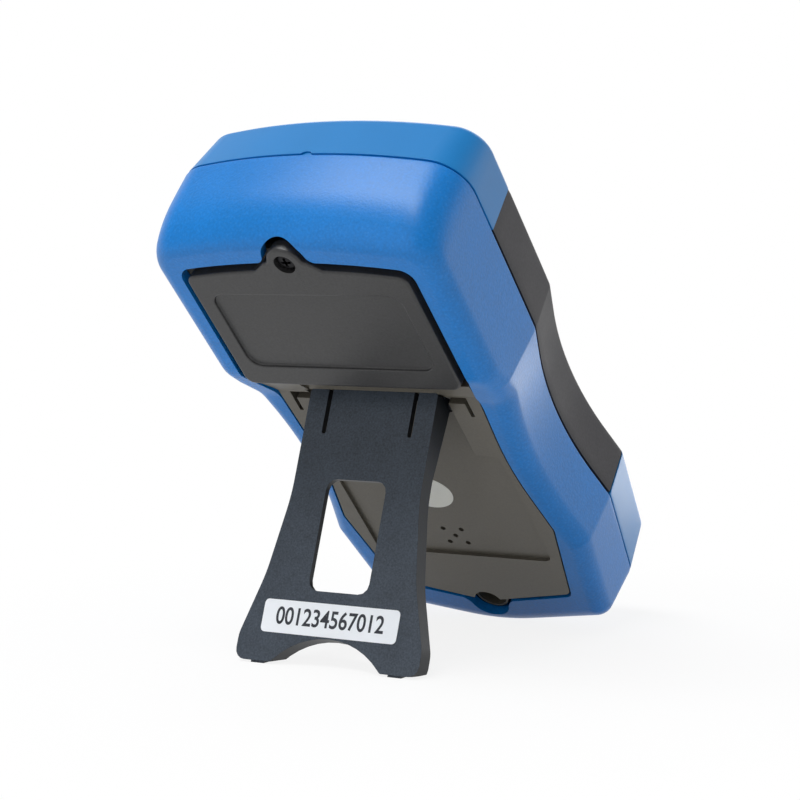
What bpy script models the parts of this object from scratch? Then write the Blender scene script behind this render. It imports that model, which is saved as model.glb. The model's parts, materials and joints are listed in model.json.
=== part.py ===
"""Handheld digital multimeter standing on its open tilt stand, as separate sub-parts.

World frame: metres, +Z up, the meter's front faces -Y and leans back on its stand, the table is z = 0.
Sub-parts are drawn in the meter's own axes, in millimetres: x to the right seen from the front,
y towards the display end, z out of the front, with z = 0 on the parting plane of the two case halves.
"""

import math

import bmesh
import bpy
from mathutils import Matrix, Vector

MM = 0.001

# Clearances
FIT = 0.3
PARTING_GAP = 0.4

# Case outline on the parting plane, right half
TOP_PEAK_Y = 96.0
SHOULDER_DROP = 7.8
HEAD_HALF = 44.6
HEAD_CORNER_R = 12.5
CROWN_R = 210.0
CREASE_Y = 29.7
CREASE_HALF = 43.6
CREASE_R = 5.0
WAIST_Y = -4.6
WAIST_PEAK_HALF = 35.2
WAIST_R = 110.0
HIP_Y = -38.8
HIP_HALF = 42.3
TOE_Y = -75.9
TOE_HALF = 37.3
TOE_R = 7.0
BOTTOM_PEAK_Y = -83.3
BOTTOM_R = 60.0

# Steps of the rounded corners on hidden faces
HIDDEN_STEPS = 3

# Case depth
WALL = 3.0
HEAD_DEPTH = 25.9
LOW_DEPTH = 20.3
SLOPE_LOW_Y = 22.0
SLOPE_HIGH_Y = 36.0
BACK_DRAFT = 0.15
BACK_EDGE_R = 6.0
BOTTOM_EDGE_R = 6.5
FRONT_DEPTH = 17.5
FRONT_DRAFT_SIDE = 0.095
FRONT_DRAFT_END = 0.17
FRONT_EDGE_R = 2.5
FRONT_INNER_R = 0.8
FRONT_RIM = 7.5
FACE_SINK = 0.6
FACE_WALL = 3.0
FRONT_FLANGE_T = 1.8

# Side grips
GRIP_HIGH_Y = 65.3
GRIP_LOW_Y = -38.7
GRIP_T = 1.4
GRIP_WRAP = 4.5

# Back opening, battery door and rear panel
DOOR_PROUD = 0.8
GROOVE = 1.9
OPENING_HALF = 35.8
OPENING_TOP_PEAK_Y = 81.8
OPENING_CORNER_Y = 76.6
OPENING_R = 4.5
DOOR_LOW_Y = 33.6
DOOR_CORNER_R = 3.0
DOOR_BEVEL = 0.5
DOOR_PANEL_MARGIN = 4.9
DOOR_PANEL_LOW_MARGIN = 7.2
DOOR_PANEL_TOP_MARGIN = 6.2
DOOR_PANEL_SINK = 0.8
DOOR_BOSS_Y = 79.6
DOOR_BOSS_R = 5.3
DOOR_BAY_R = 6.6
DOOR_BAY_RISE = 0.9
DOOR_BAY_FLARE = 3.0
PANEL_FLANGE = 2.0
PANEL_T = 2.0
PANEL_SINK = 0.1
PANEL_GAP = 0.5
PANEL_LOW_GAP = 1.2
BEND_LATER = 1.5
SLOPE_FOOT_Y = 24.0
SLOPE_TOP_SINK = 1.4
NEST_HALF = 28.9
NEST_HIGH_Y = 0.0
NEST_LOW_Y = -45.5
NEST_SINK = 1.0
NEST_R = 2.0
SHELF_HALF = 20.6
SHELF_SINK = 0.3
BUZZER_Y = -37.8
BUZZER_PITCH = 6.0
BUZZER_HOLE_R = 0.85

# Tilt stand
OPEN_ANGLE = math.radians(64.0)
HINGE_Y = 17.7
HINGE_Z = -17.8
STAND_T = 4.9
STAND_SKIN = 2.0
STAND_RIB = 1.9
STAND_HEEL = 1.2
STAND_LENGTH = 74.9
STAND_HALF = 20.2
STAND_KNEE = 29.0
STAND_ANKLE = 51.0
STAND_ANKLE_HALF = 23.6
STAND_FLARE = 68.0
FOOT_HALF = 28.7
FOOT_R = 3.0
ARCH_HALF = 17.2
ARCH_RISE = 7.2
WINDOW_HALF = 9.4
WINDOW_START = 23.9
WINDOW_LENGTH = 30.8
WINDOW_R = 3.0
SLIT_X = 13.6
SLIT_W = 1.3
SLIT_LENGTH = 12.6
FLANGE_RUN = 22.0
PIVOT_R = 1.9
PIN_R = 1.3
PIN_LENGTH = 4.3
PAD_X = 21.5
PAD_HALF = 2.1
PAD_DROP = 0.7
PAD_EDGE = 0.6
POCKET_HALF = 21.8
POCKET_FLAT_Y = 12.0
POCKET_WALL = 2.5
EAR_LOW_Y = 14.0
EAR_WALL = 1.5
SLOT_HALF = 28.0
SLOT_LOW_Y = 21.2
SLOT_HIGH_Y = 23.7
SLOT_LEG_Y = 16.0
SLOT_LEG_W = 1.2
SLOT_DEPTH = 3.0

# Fasteners
SCREW_SHANK_R = 1.4
SCREW_CLEAR_R = 1.8
SCREW_HEAD_R = 2.7
SCREW_HEAD_T = 1.6
SCREW_WELL_R = 3.1
POST_R = 3.8
LOW_SCREW_Y = -67.4
LOW_WELL_R = 3.5
LOW_BOSS_R = 5.2
LOW_BOSS_SINK = 2.5
LOW_BAY_R = 6.0
LOW_BAY_FLARE = 5.0
HIGH_SCREW_X = 31.0
HIGH_SCREW_Y = 38.5
POST_MEET_Z = -8.0
SCREW_SEAT_Z = -13.5
SCREW_TIP_Z = 3.0
DOOR_SCREW_TIP_Z = -13.0
BOARD_SCREW_R = 1.0
BOARD_SCREW_HEAD_R = 2.3
BOARD_POST_R = 3.2
BOARD_POSTS = ((-29.5, 24.5), (29.5, 24.5), (-27.0, -36.0), (27.0, -36.0))

# Battery and its tub
BATTERY = (46.4, 26.2, 17.2)
BATTERY_R = 2.0
BATTERY_Y = 61.5
STUD_H = 2.1
STUD_R = (2.9, 3.9)
STUD_PITCH = 12.7
SNAP_T = 3.5
SNAP_W = 12.0
TUB_WALL = 1.5

# Board and display
BOARD_T = 1.6
BOARD_Z = 5.0
BOARD_MARGIN = 1.0
BOARD_LOW_Y = -61.5
DISPLAY_Y = 60.5
LENS = (60.0, 33.0, 1.5)
LENS_SINK = 0.2
LENS_LEDGE = 2.0
LENS_R = 2.5
LENS_VIEW_R = 1.5
GLASS = (62.0, 32.6, 2.2)
HOLDER_RIM = 1.5
ELASTOMER_W = 2.6

# Selector
KNOB_Y = -6.0
KNOB_R = 20.0
KNOB_SKIRT = 2.0
KNOB_GRIP_T = 6.5
KNOB_GRIP_HALF = 5.2
KNOB_HUB_R = 6.0
KNOB_SHAFT_R = 3.2
ROTOR_R = 18.8
ROTOR_T = 4.4
ROTOR_BORE_R = 1.7
DETENT_BALL_R = 1.5
DETENT_GAP = 2.2
DETENT_RING_T = 1.6
DETENT_COUNT = 20
DETENT_DEPTH = 0.5
SPRING_COIL_R = 0.95
SPRING_WIRE_R = 0.25
SPRING_TURNS = 4
WIPER = (10.0, 2.4, 0.5)
WIPER_RADII = (8.6, 11.6, 14.6)

# Push buttons
BUTTON_Y = 32.5
BUTTON_COUNT = 4
BUTTON_PITCH = 15.0
BUTTON = (10.8, 6.2)
BUTTON_R = 3.0
BUTTON_PROUD = 1.4
BUTTON_BEVEL = 0.5
BUTTON_TRAVEL = 1.2
BUTTON_LIP = 0.9
BUTTON_LIP_T = 1.2
BUTTON_STEM_R = 2.2
KEYPAD_T = 1.0
DOME_R = 3.0
DOME_H = 1.0

# Input jacks and fuses
JACK_Y = -54.5
JACK_COUNT = 4
JACK_PITCH = 16.5
JACK_WELL_R = 5.25
JACK_WELL_T = 1.4
JACK_R = 3.3
JACK_BORE_R = 2.1
JACK_WELL_DEPTH = 5.9
FUSES = ((-20.0, 3.2, 31.8), (-41.0, 3.2, 31.8))
FUSE_CAP = 6.0
FUSE_LIFT = 1.4
FUSE_CLIP_W = 4.6
BUZZER_R = 9.0
BUZZER_T = 3.4
BUZZER_BEVEL = 0.6

# Levels along z and places that follow from the sizes above
DOOR_Z = -(HEAD_DEPTH + DOOR_PROUD)
HEAD_SEAT_Z = -HEAD_DEPTH + WALL + FIT
LOW_SEAT_Z = -LOW_DEPTH + WALL + FIT
FLOOR_Z = -LOW_DEPTH + PANEL_SINK
NEST_Z = FLOOR_Z + NEST_SINK
POCKET_Z = HINGE_Z + PIVOT_R + 2 * FIT
STAND_BACK_Z = FLOOR_Z - FIT - STAND_T
HINGE_TO_FACE = HINGE_Z - STAND_BACK_Z
HEEL_REACH = HINGE_TO_FACE * math.sin(OPEN_ANGLE) + (STAND_HEEL + FIT) * math.cos(OPEN_ANGLE)
POCKET_HIGH_Y = HINGE_Y + HEEL_REACH + FIT
FACE_Z = FRONT_DEPTH - FACE_SINK
FACE_BACK_Z = FACE_Z - FACE_WALL
FRONT_SEAT_Z = FRONT_DEPTH - WALL - FIT
BOARD_FRONT_Z = BOARD_Z + BOARD_T
BOARD_SEAT_Z = BOARD_FRONT_Z + FIT
TUB_FLOOR_Z = HEAD_SEAT_Z + BATTERY[2] + 2 * FIT
ROTOR_Z = BOARD_SEAT_Z + WIPER[2] + FIT + 0.4
ROTOR_TOP_Z = ROTOR_Z + ROTOR_T
DETENT_RING_R = ROTOR_R + DETENT_GAP
JACK_FLOOR_Z = FACE_Z - JACK_WELL_DEPTH
BUTTON_XS = [BUTTON_PITCH * (k - (BUTTON_COUNT - 1) / 2) for k in range(BUTTON_COUNT)]
JACK_XS = [JACK_PITCH * (k - (JACK_COUNT - 1) / 2) for k in range(JACK_COUNT)]

CASE = (
    (0.0, TOP_PEAK_Y, CROWN_R, 6),
    (HEAD_HALF, TOP_PEAK_Y - SHOULDER_DROP, HEAD_CORNER_R, 5),
    (HEAD_HALF - 0.8 * (HEAD_HALF - CREASE_HALF), SLOPE_HIGH_Y + 3.0, 0.0, 0),
    (CREASE_HALF, CREASE_Y, CREASE_R, 2),
    (WAIST_PEAK_HALF, WAIST_Y, WAIST_R, 5),
    (HIP_HALF, HIP_Y, CREASE_R, 2),
    (TOE_HALF, TOE_Y, TOE_R, 3),
    (0.0, BOTTOM_PEAK_Y, BOTTOM_R, 4),
)

OPENING = (
    (0.0, OPENING_TOP_PEAK_Y, CROWN_R, 6),
    (OPENING_HALF, OPENING_CORNER_Y, OPENING_R, 4),
    (OPENING_HALF, SLOPE_HIGH_Y - 0.5, 4.0, 2),
    (32.2, SLOPE_LOW_Y + 3.0, 6.0, 2),
    (30.6, WAIST_Y, WAIST_R, 5),
    (34.9, -31.0, 4.0, 3),
    (29.6, -61.5, 3.0, 3),
    (0.0, -68.2, 12.0, 4),
)


def clear_scene():
    for old in list(bpy.data.objects):
        bpy.data.objects.remove(old)


def rounded_outline(half, inset=0.0, most_steps=99):
    """Closed outline, counter-clockwise from its top centre, from the corners of its right half.

    Each corner is (x, y, radius, steps); the first and last lie on x = 0. The outline is moved inwards
    by inset, one value or a (side, top, bottom) triple, and each corner is rounded by a tangent arc.
    """
    half = [(x, y, r, min(steps, most_steps)) for x, y, r, steps in half]
    side, top, bottom = inset if isinstance(inset, tuple) else (inset, inset, inset)
    right = list(half[1:-1])
    left = [(-x, y, r, steps) for x, y, r, steps in right]
    corners = [half[0], *left, half[-1], *right[::-1]]
    count = len(corners)
    moves = [side] * count
    moves[0] = moves[-1] = top
    moves[len(left)] = moves[len(left) + 1] = bottom

    places = [Vector(c[:2]) for c in corners]
    runs = [(places[(i + 1) % count] - places[i]).normalized() for i in range(count)]
    inward = [Vector((-run.y, run.x)) for run in runs]
    moved = []
    for i in range(count):
        n1, n2, a, b = inward[i - 1], inward[i], moves[i - 1], moves[i]
        det = n1.x * n2.y - n1.y * n2.x
        if abs(det) < 1e-6:
            shift = n2 * b
        else:
            shift = Vector(((a * n2.y - b * n1.y) / det, (n1.x * b - n2.x * a) / det))
        moved.append(places[i] + shift)

    turns = []
    radii = []
    for i in range(count):
        turn = math.atan2(runs[i - 1].cross(runs[i]), runs[i - 1].dot(runs[i]))
        shrink = 0.5 * (moves[i - 1] + moves[i])
        radius = corners[i][2]
        if radius > 0:
            radius = max(radius - math.copysign(shrink, turn), 0.4)
        turns.append(turn)
        radii.append(radius)
    tangents = [r * abs(math.tan(t / 2)) for r, t in zip(radii, turns)]
    lengths = [(moved[(i + 1) % count] - moved[i]).length for i in range(count)]
    ratios = []
    for i in range(count):
        before = tangents[i - 1] + tangents[i]
        after = tangents[i] + tangents[(i + 1) % count]
        room = min(lengths[i - 1] / max(before, 1e-9), lengths[i] / max(after, 1e-9))
        ratios.append(min(1.0, 0.98 * room))

    stretches = []
    for i in range(count):
        steps = corners[i][3]
        if steps == 0 or abs(turns[i]) < 1e-6:
            stretches.append([moved[i]] * (steps + 1) if steps == 0 else [moved[i]])
            continue
        radius = radii[i] * ratios[i]
        start = moved[i] - runs[i - 1] * tangents[i] * ratios[i]
        centre = start + inward[i - 1] * math.copysign(radius, turns[i])
        spoke = start - centre
        arc = []
        for k in range(steps + 1):
            c, s = math.cos(turns[i] * k / steps), math.sin(turns[i] * k / steps)
            arc.append(centre + Vector((c * spoke.x - s * spoke.y, s * spoke.x + c * spoke.y)))
        stretches.append(arc)
    crown = stretches[0]
    middle = len(crown) // 2
    points = crown[middle:]
    for stretch in stretches[1:]:
        points += stretch
    return points + crown[:middle]


def rectangle(width, height, radius, centre=(0.0, 0.0), steps=3):
    """Rounded rectangle, counter-clockwise."""
    half_w, half_h = width / 2, height / 2
    half = (
        (0.0, half_h, 0.0, 0),
        (half_w, half_h, radius, steps),
        (half_w, -half_h, radius, steps),
        (0.0, -half_h, 0.0, 0),
    )
    return [p + Vector(centre) for p in rounded_outline(half)]


def circle(radius, centre=(0.0, 0.0), segments=24):
    angles = [2 * math.pi * k / segments for k in range(segments)]
    return [Vector((centre[0] + radius * math.cos(a), centre[1] + radius * math.sin(a))) for a in angles]


def at(points, z):
    return [Vector((p.x, p.y, z)) for p in points]


def solid(bm):
    """Scene object, still in millimetres, from a closed bmesh."""
    bmesh.ops.recalc_face_normals(bm, faces=bm.faces)
    mesh = bpy.data.meshes.new("shape")
    bm.to_mesh(mesh)
    bm.free()
    shape = bpy.data.objects.new("shape", mesh)
    bpy.context.scene.collection.objects.link(shape)
    return shape


def loft(rings, ladder=False):
    """Solid through rings of equal count. Ladder caps join mirrored points, so that each rung is level."""
    bm = bmesh.new()
    loops = [[bm.verts.new(p) for p in ring] for ring in rings]
    count = len(loops[0])
    for low, high in zip(loops, loops[1:]):
        for i in range(count):
            j = (i + 1) % count
            bm.faces.new((low[i], low[j], high[j], high[i]))
    for loop in (loops[0], loops[-1]):
        if not ladder:
            bm.faces.new(loop)
            continue
        last = count // 2
        bm.faces.new((loop[0], loop[1], loop[-1]))
        for i in range(1, last - 1):
            bm.faces.new((loop[i], loop[i + 1], loop[-i - 1], loop[-i]))
        bm.faces.new((loop[last - 1], loop[last], loop[last + 1]))
    return solid(bm)


def prism(points, low, high):
    return loft([at(points, low), at(points, high)])


def box(x0, x1, y0, y1, z0, z1):
    corners = [Vector(p) for p in ((x0, y0), (x1, y0), (x1, y1), (x0, y1))]
    return prism(corners, z0, z1)


def drum(radius, low, high, centre=(0.0, 0.0), segments=24):
    return prism(circle(radius, centre, segments), low, high)


def turned(profile, centre=(0.0, 0.0), segments=32):
    """Solid of revolution about z; profile lists (radius, z) from one flat end to the other."""
    return loft([at(circle(r, centre, segments), z) for r, z in profile])


def across(profile, half_width):
    """Prism along x of a (y, z) profile."""
    return loft([[Vector((x, y, z)) for y, z in profile] for x in (-half_width, half_width)])


def rod_x(radius, x0, x1, y, z, segments=16):
    angles = [2 * math.pi * k / segments for k in range(segments)]
    ring = [(y + radius * math.cos(a), z + radius * math.sin(a)) for a in angles]
    return loft([[Vector((x, p, q)) for p, q in ring] for x in (x0, x1)])


def combine(shape, tool, operation):
    """Boolean of two shapes; the tool is used up."""
    step = shape.modifiers.new("step", "BOOLEAN")
    step.operation = operation
    step.object = tool
    step.solver = "EXACT"
    graph = bpy.context.evaluated_depsgraph_get()
    mesh = bpy.data.meshes.new_from_object(shape.evaluated_get(graph))
    shape.modifiers.clear()
    shape.data = mesh
    bpy.data.objects.remove(tool)
    return shape


def cut(shape, *tools):
    for tool in tools:
        combine(shape, tool, "DIFFERENCE")
    return shape


def fuse(shape, *others):
    for other in others:
        combine(shape, other, "UNION")
    return shape


def common(shape, *others):
    for other in others:
        combine(shape, other, "INTERSECT")
    return shape


def moved(shape, offset=(0.0, 0.0, 0.0), turn=None):
    matrix = Matrix.Translation(offset)
    if turn:
        matrix = matrix @ Matrix.Rotation(turn[0], 4, turn[1])
    shape.data.transform(matrix)
    return shape


def srgb(red, green, blue):
    def linear(value):
        value /= 255
        return value / 12.92 if value <= 0.04045 else ((value + 0.055) / 1.055) ** 2.4

    return (linear(red), linear(green), linear(blue), 1.0)


def finish(shape, name, colour, roughness, metallic=0.0, pivot=(0.0, 0.0, 0.0), sharp=35.0):
    """Names a finished shape, puts it in metres on its pivot, and gives it its own material."""
    shape.name = name
    shape.data.name = name
    shape.data.transform(Matrix.Scale(MM, 4) @ Matrix.Translation(-Vector(pivot)))
    shape.data.shade_smooth()
    shape.data.set_sharp_from_angle(angle=math.radians(sharp))
    material = bpy.data.materials.new(name)
    material.use_nodes = True
    shader = material.node_tree.nodes["Principled BSDF"]
    shader.inputs["Base Color"].default_value = srgb(*colour)
    shader.inputs["Roughness"].default_value = roughness
    shader.inputs["Metallic"].default_value = metallic
    shape.data.materials.clear()
    shape.data.materials.append(material)
    shape.parent = bpy.data.objects["meter"]
    shape.location = Vector(pivot) * MM
    return shape


BLUE = (45, 120, 205)
GRIP_BLACK = (74, 73, 76)
DOOR_BLACK = (72, 72, 73)
PANEL_BLACK = (86, 83, 79)
STAND_BLACK = (66, 71, 77)
FACE_GREY = (62, 64, 68)
STEEL = (190, 190, 192)
BRASS = (205, 170, 95)
BOARD_GREEN = (28, 92, 58)


def back_z(y):
    """Level of the blue back rim: deep at the battery end, a slope below the door, then shallower."""
    share = (y - SLOPE_LOW_Y) / (SLOPE_HIGH_Y - SLOPE_LOW_Y)
    share = min(max(share, 0.0), 1.0)
    return -(LOW_DEPTH + (HEAD_DEPTH - LOW_DEPTH) * share)


def edge_inset(radius, height):
    """How far a quarter-round edge of this radius has drawn in at this height below its crown."""
    if height >= radius:
        return 0.0
    return radius - math.sqrt(radius**2 - (radius - height) ** 2)


def back_ring(height, skin=0.0):
    """Ring of the rear half, height above its back face, all moved inwards by skin."""
    side_r = max(BACK_EDGE_R - skin, 1.5)
    low_r = max(BOTTOM_EDGE_R - skin, 1.5)
    draft = BACK_DRAFT * (LOW_DEPTH - height)
    inset = (
        skin + draft + edge_inset(side_r, height),
        skin + draft + edge_inset(side_r, height),
        skin + draft + edge_inset(low_r, height),
    )
    points = rounded_outline(CASE, inset, HIDDEN_STEPS if skin else 99)
    return [Vector((p.x, p.y, back_z(p.y) + skin + height)) for p in points]


def back_solid(skin=0.0, open_to=0.0):
    """The rear half as a solid: rounded back edge, drafted wall, ending at z = open_to."""
    outer = (0.0, 0.05, 0.18, 0.4, 0.7, 1.0)
    inner = (0.0, 0.18, 0.6)
    shares = inner if skin else outer
    rings = [back_ring(BACK_EDGE_R * share, skin) for share in shares]
    rings.append(back_ring(BOTTOM_EDGE_R, skin))
    edge = rounded_outline(CASE, skin, HIDDEN_STEPS if skin else 99)
    rings.append(at(edge, 0.0))
    if open_to > 0:
        rings.append(at(edge, open_to))
    return loft(rings, ladder=True)


def front_inset(z, skin=0.0):
    height = FRONT_DEPTH - skin - z
    edge = edge_inset(max(FRONT_EDGE_R - skin, FRONT_INNER_R), max(height, 0.0))
    side = skin + FRONT_DRAFT_SIDE * z + edge
    end = skin + FRONT_DRAFT_END * z + edge
    return (side, end, end)


def front_solid(skin=0.0, low=PARTING_GAP):
    """The front half as a solid, all moved inwards by skin."""
    top = FRONT_DEPTH - skin
    edge = max(FRONT_EDGE_R - skin, FRONT_INNER_R)
    shares = (1.0, 0.3, 0.0) if skin else (1.0, 0.5, 0.18, 0.03, 0.0)
    levels = [low] + [top - edge * share for share in shares]
    return loft([at(rounded_outline(CASE, front_inset(z, skin)), z) for z in levels])


def door_outline(inset=0.0):
    half = (
        (0.0, OPENING_TOP_PEAK_Y - GROOVE, CROWN_R, 6),
        (OPENING_HALF - GROOVE, OPENING_CORNER_Y - GROOVE, DOOR_CORNER_R, 4),
        (OPENING_HALF - GROOVE, DOOR_LOW_Y, DOOR_CORNER_R, 4),
        (0.0, DOOR_LOW_Y, 0.0, 0),
    )
    return rounded_outline(half, inset)


def bay(middle_y, radius, flare, edge_y, rise):
    """Outline of a round bay at a screw, flared into the opening's edge on both sides.

    The edge leaves x = 0 at edge_y and rises by this angle; the bay lies on the far side of it from y = 0.
    Each flare's centre is one flare radius beyond the edge and both radii from the middle of the bay.
    """
    outward = math.copysign(1.0, middle_y)
    along = Vector((math.cos(rise), math.sin(rise)))
    beyond = outward * Vector((-along.y, along.x))
    edge = Vector((0.0, edge_y - outward * FIT))
    middle = Vector((0.0, middle_y))
    start = edge + flare * beyond - middle
    reach = (radius + flare) ** 2 - start.length_squared
    run = -start.dot(along) + math.sqrt(start.dot(along) ** 2 + reach)
    centre = edge + flare * beyond + run * along

    def arc(pivot, spoke, end, steps):
        turn = math.atan2(spoke.cross(end), spoke.dot(end))
        return [pivot + Matrix.Rotation(turn * k / steps, 2) @ spoke for k in range(steps + 1)]

    meet = (centre - middle).normalized()
    right = [edge + run * along - 2.0 * beyond]
    right += arc(centre, -flare * beyond, -flare * meet, 3)
    right += arc(middle, radius * meet, Vector((0.0, outward * radius)), 6)
    left = [Vector((-p.x, p.y)) for p in reversed(right[:-1])]
    points = right + left
    return points if outward > 0 else points[::-1]


def rear_shell():
    shell = back_solid()
    cut(shell, back_solid(WALL, open_to=5.0))
    low, high = DOOR_Z - 5.0, POST_MEET_Z
    outline = rounded_outline(OPENING)
    cut(shell, prism(outline, low, high))
    top_bay = bay(DOOR_BOSS_Y + DOOR_BAY_RISE, DOOR_BAY_R, DOOR_BAY_FLARE, outline[0].y, 0.0)
    cut(shell, prism(top_bay, low, high))
    rise = math.atan2(OPENING[-2][1] - OPENING[-1][1], OPENING[-2][0])
    low_bay = bay(LOW_SCREW_Y, LOW_BAY_R, LOW_BAY_FLARE, OPENING[-1][1], rise)
    cut(shell, prism(low_bay, low, high))
    return finish(shell, "rear_shell", BLUE, 0.45)


def stand_slab(low, high, inset=0.0):
    """Stand outline as a prism; lengths run down from the hinge axis, folded flat on the back."""
    drop = ARCH_HALF * math.tan(2 * math.atan2(ARCH_RISE, ARCH_HALF))
    arch_r = (ARCH_HALF**2 + ARCH_RISE**2) / (2 * ARCH_RISE)
    half = (
        (0.0, STAND_HEEL, 0.0, 0),
        (STAND_HALF, STAND_HEEL, 0.6, 1),
        (STAND_HALF, -STAND_KNEE, 60.0, 4),
        (STAND_ANKLE_HALF, -STAND_ANKLE, 50.0, 4),
        (FOOT_HALF, -STAND_FLARE, 9.0, 3),
        (FOOT_HALF, -STAND_LENGTH, FOOT_R, 4),
        (ARCH_HALF, -STAND_LENGTH, 1.2, 2),
        (0.0, drop - STAND_LENGTH, arch_r, 12),
    )
    return prism(rounded_outline(half, inset), low, high)


def stand_window(low, high, margin=0.0):
    size = (2 * (WINDOW_HALF + margin), WINDOW_LENGTH + 2 * margin)
    centre = (0.0, -(WINDOW_START + WINDOW_LENGTH / 2))
    return prism(rectangle(*size, WINDOW_R + margin, centre), low, high)


def kickstand(lean):
    """Moulded stand: ribbed plate with a window, a finger arch, side flanges and pivot stubs."""
    back, front = -HINGE_TO_FACE, -HINGE_TO_FACE + STAND_T
    stand = stand_slab(back, front)
    hollow = stand_slab(back + STAND_SKIN, front + 5.0, STAND_RIB)
    cut(hollow, stand_window(back, front + 10.0, STAND_RIB))
    cut(stand, hollow)
    cut(stand, stand_window(back - 5.0, front + 5.0))
    cut(stand, foot_trim(lean))
    web = [(STAND_HEEL, front - 1.0)]
    for k in range(7):
        angle = math.radians(30.0 + 25.0 * k)
        web.append((PIVOT_R * math.cos(angle), PIVOT_R * math.sin(angle)))
    web += [(-FLANGE_RUN, front), (-FLANGE_RUN, front - 1.0)]
    for sign in (-1, 1):
        middle = sign * (STAND_HALF - STAND_RIB / 2)
        fuse(stand, moved(across(web, STAND_RIB / 2), (middle, 0.0, 0.0)))
        outer = sign * (STAND_HALF + PIN_LENGTH)
        fuse(stand, rod_x(PIN_R, sign * (STAND_HALF - 0.5), outer, 0.0, 0.0))
        slit = rectangle(SLIT_W, 2 * SLIT_LENGTH, SLIT_W / 2, (sign * SLIT_X, STAND_HEEL))
        cut(stand, prism(slit, back - 5.0, front + 5.0))
        fuse(stand, foot_pad(sign * PAD_X, lean))
    finish(stand, "kickstand", STAND_BLACK, 0.5)
    stand.location = Vector((0.0, HINGE_Y, HINGE_Z)) * MM
    stand.rotation_euler = (OPEN_ANGLE, 0.0, 0.0)
    return stand


def foot_line(lean, z, drop=0.0):
    """Stand's length coordinate of a line along the table in the open pose, drop below the foot's end."""
    return -STAND_LENGTH - drop + (z + HINGE_TO_FACE) * math.tan(OPEN_ANGLE - lean)


def foot_trim(lean):
    """What is cut off the foot, so that its end lies along the table when the stand is open."""
    low = -STAND_LENGTH - 10.0
    near, far = -HINGE_TO_FACE - 1.0, STAND_T - HINGE_TO_FACE + 1.0
    line = [(foot_line(lean, near), near), (foot_line(lean, far), far)]
    return across([(low, near), *line, (low, far)], 50.0)


def foot_pad(x, lean):
    """Small pad under the foot, flat on the table when the stand is open."""
    near, far = -HINGE_TO_FACE + PAD_EDGE, STAND_T - HINGE_TO_FACE - PAD_EDGE
    profile = [(foot_line(lean, near, -1.0), near), (foot_line(lean, near, PAD_DROP), near)]
    profile += [(foot_line(lean, far, PAD_DROP), far), (foot_line(lean, far, -1.0), far)]
    return moved(across(profile, PAD_HALF), (x, 0.0, 0.0))


def pocket_profile():
    """(y, z) section of the hinge pocket; its ramp stops the stand's square end at the open angle."""
    heel = Matrix.Rotation(OPEN_ANGLE, 2) @ Vector((STAND_HEEL + FIT, -HINGE_TO_FACE))
    along = Matrix.Rotation(OPEN_ANGLE, 2) @ Vector((0.0, 1.0))
    rear = Vector((HINGE_Y, HINGE_Z)) + heel
    foot = rear + along * (HINGE_TO_FACE - PIVOT_R - FIT)
    wall = rear + along * ((POCKET_HIGH_Y - rear.x) / along.x)
    outside = DOOR_Z - 5.0
    low = NEST_HIGH_Y - 1.0
    mouth = [(low, NEST_Z - FIT), (low, outside), (POCKET_HIGH_Y, outside)]
    return [*mouth, tuple(wall), tuple(foot), (foot.x, POCKET_Z), (POCKET_FLAT_Y, POCKET_Z)]


def seat_z(y):
    """Level of the rear panel's plate, just under the blue rim, bending a little later than the rim."""
    return back_z(y - BEND_LATER) + WALL + FIT


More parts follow.
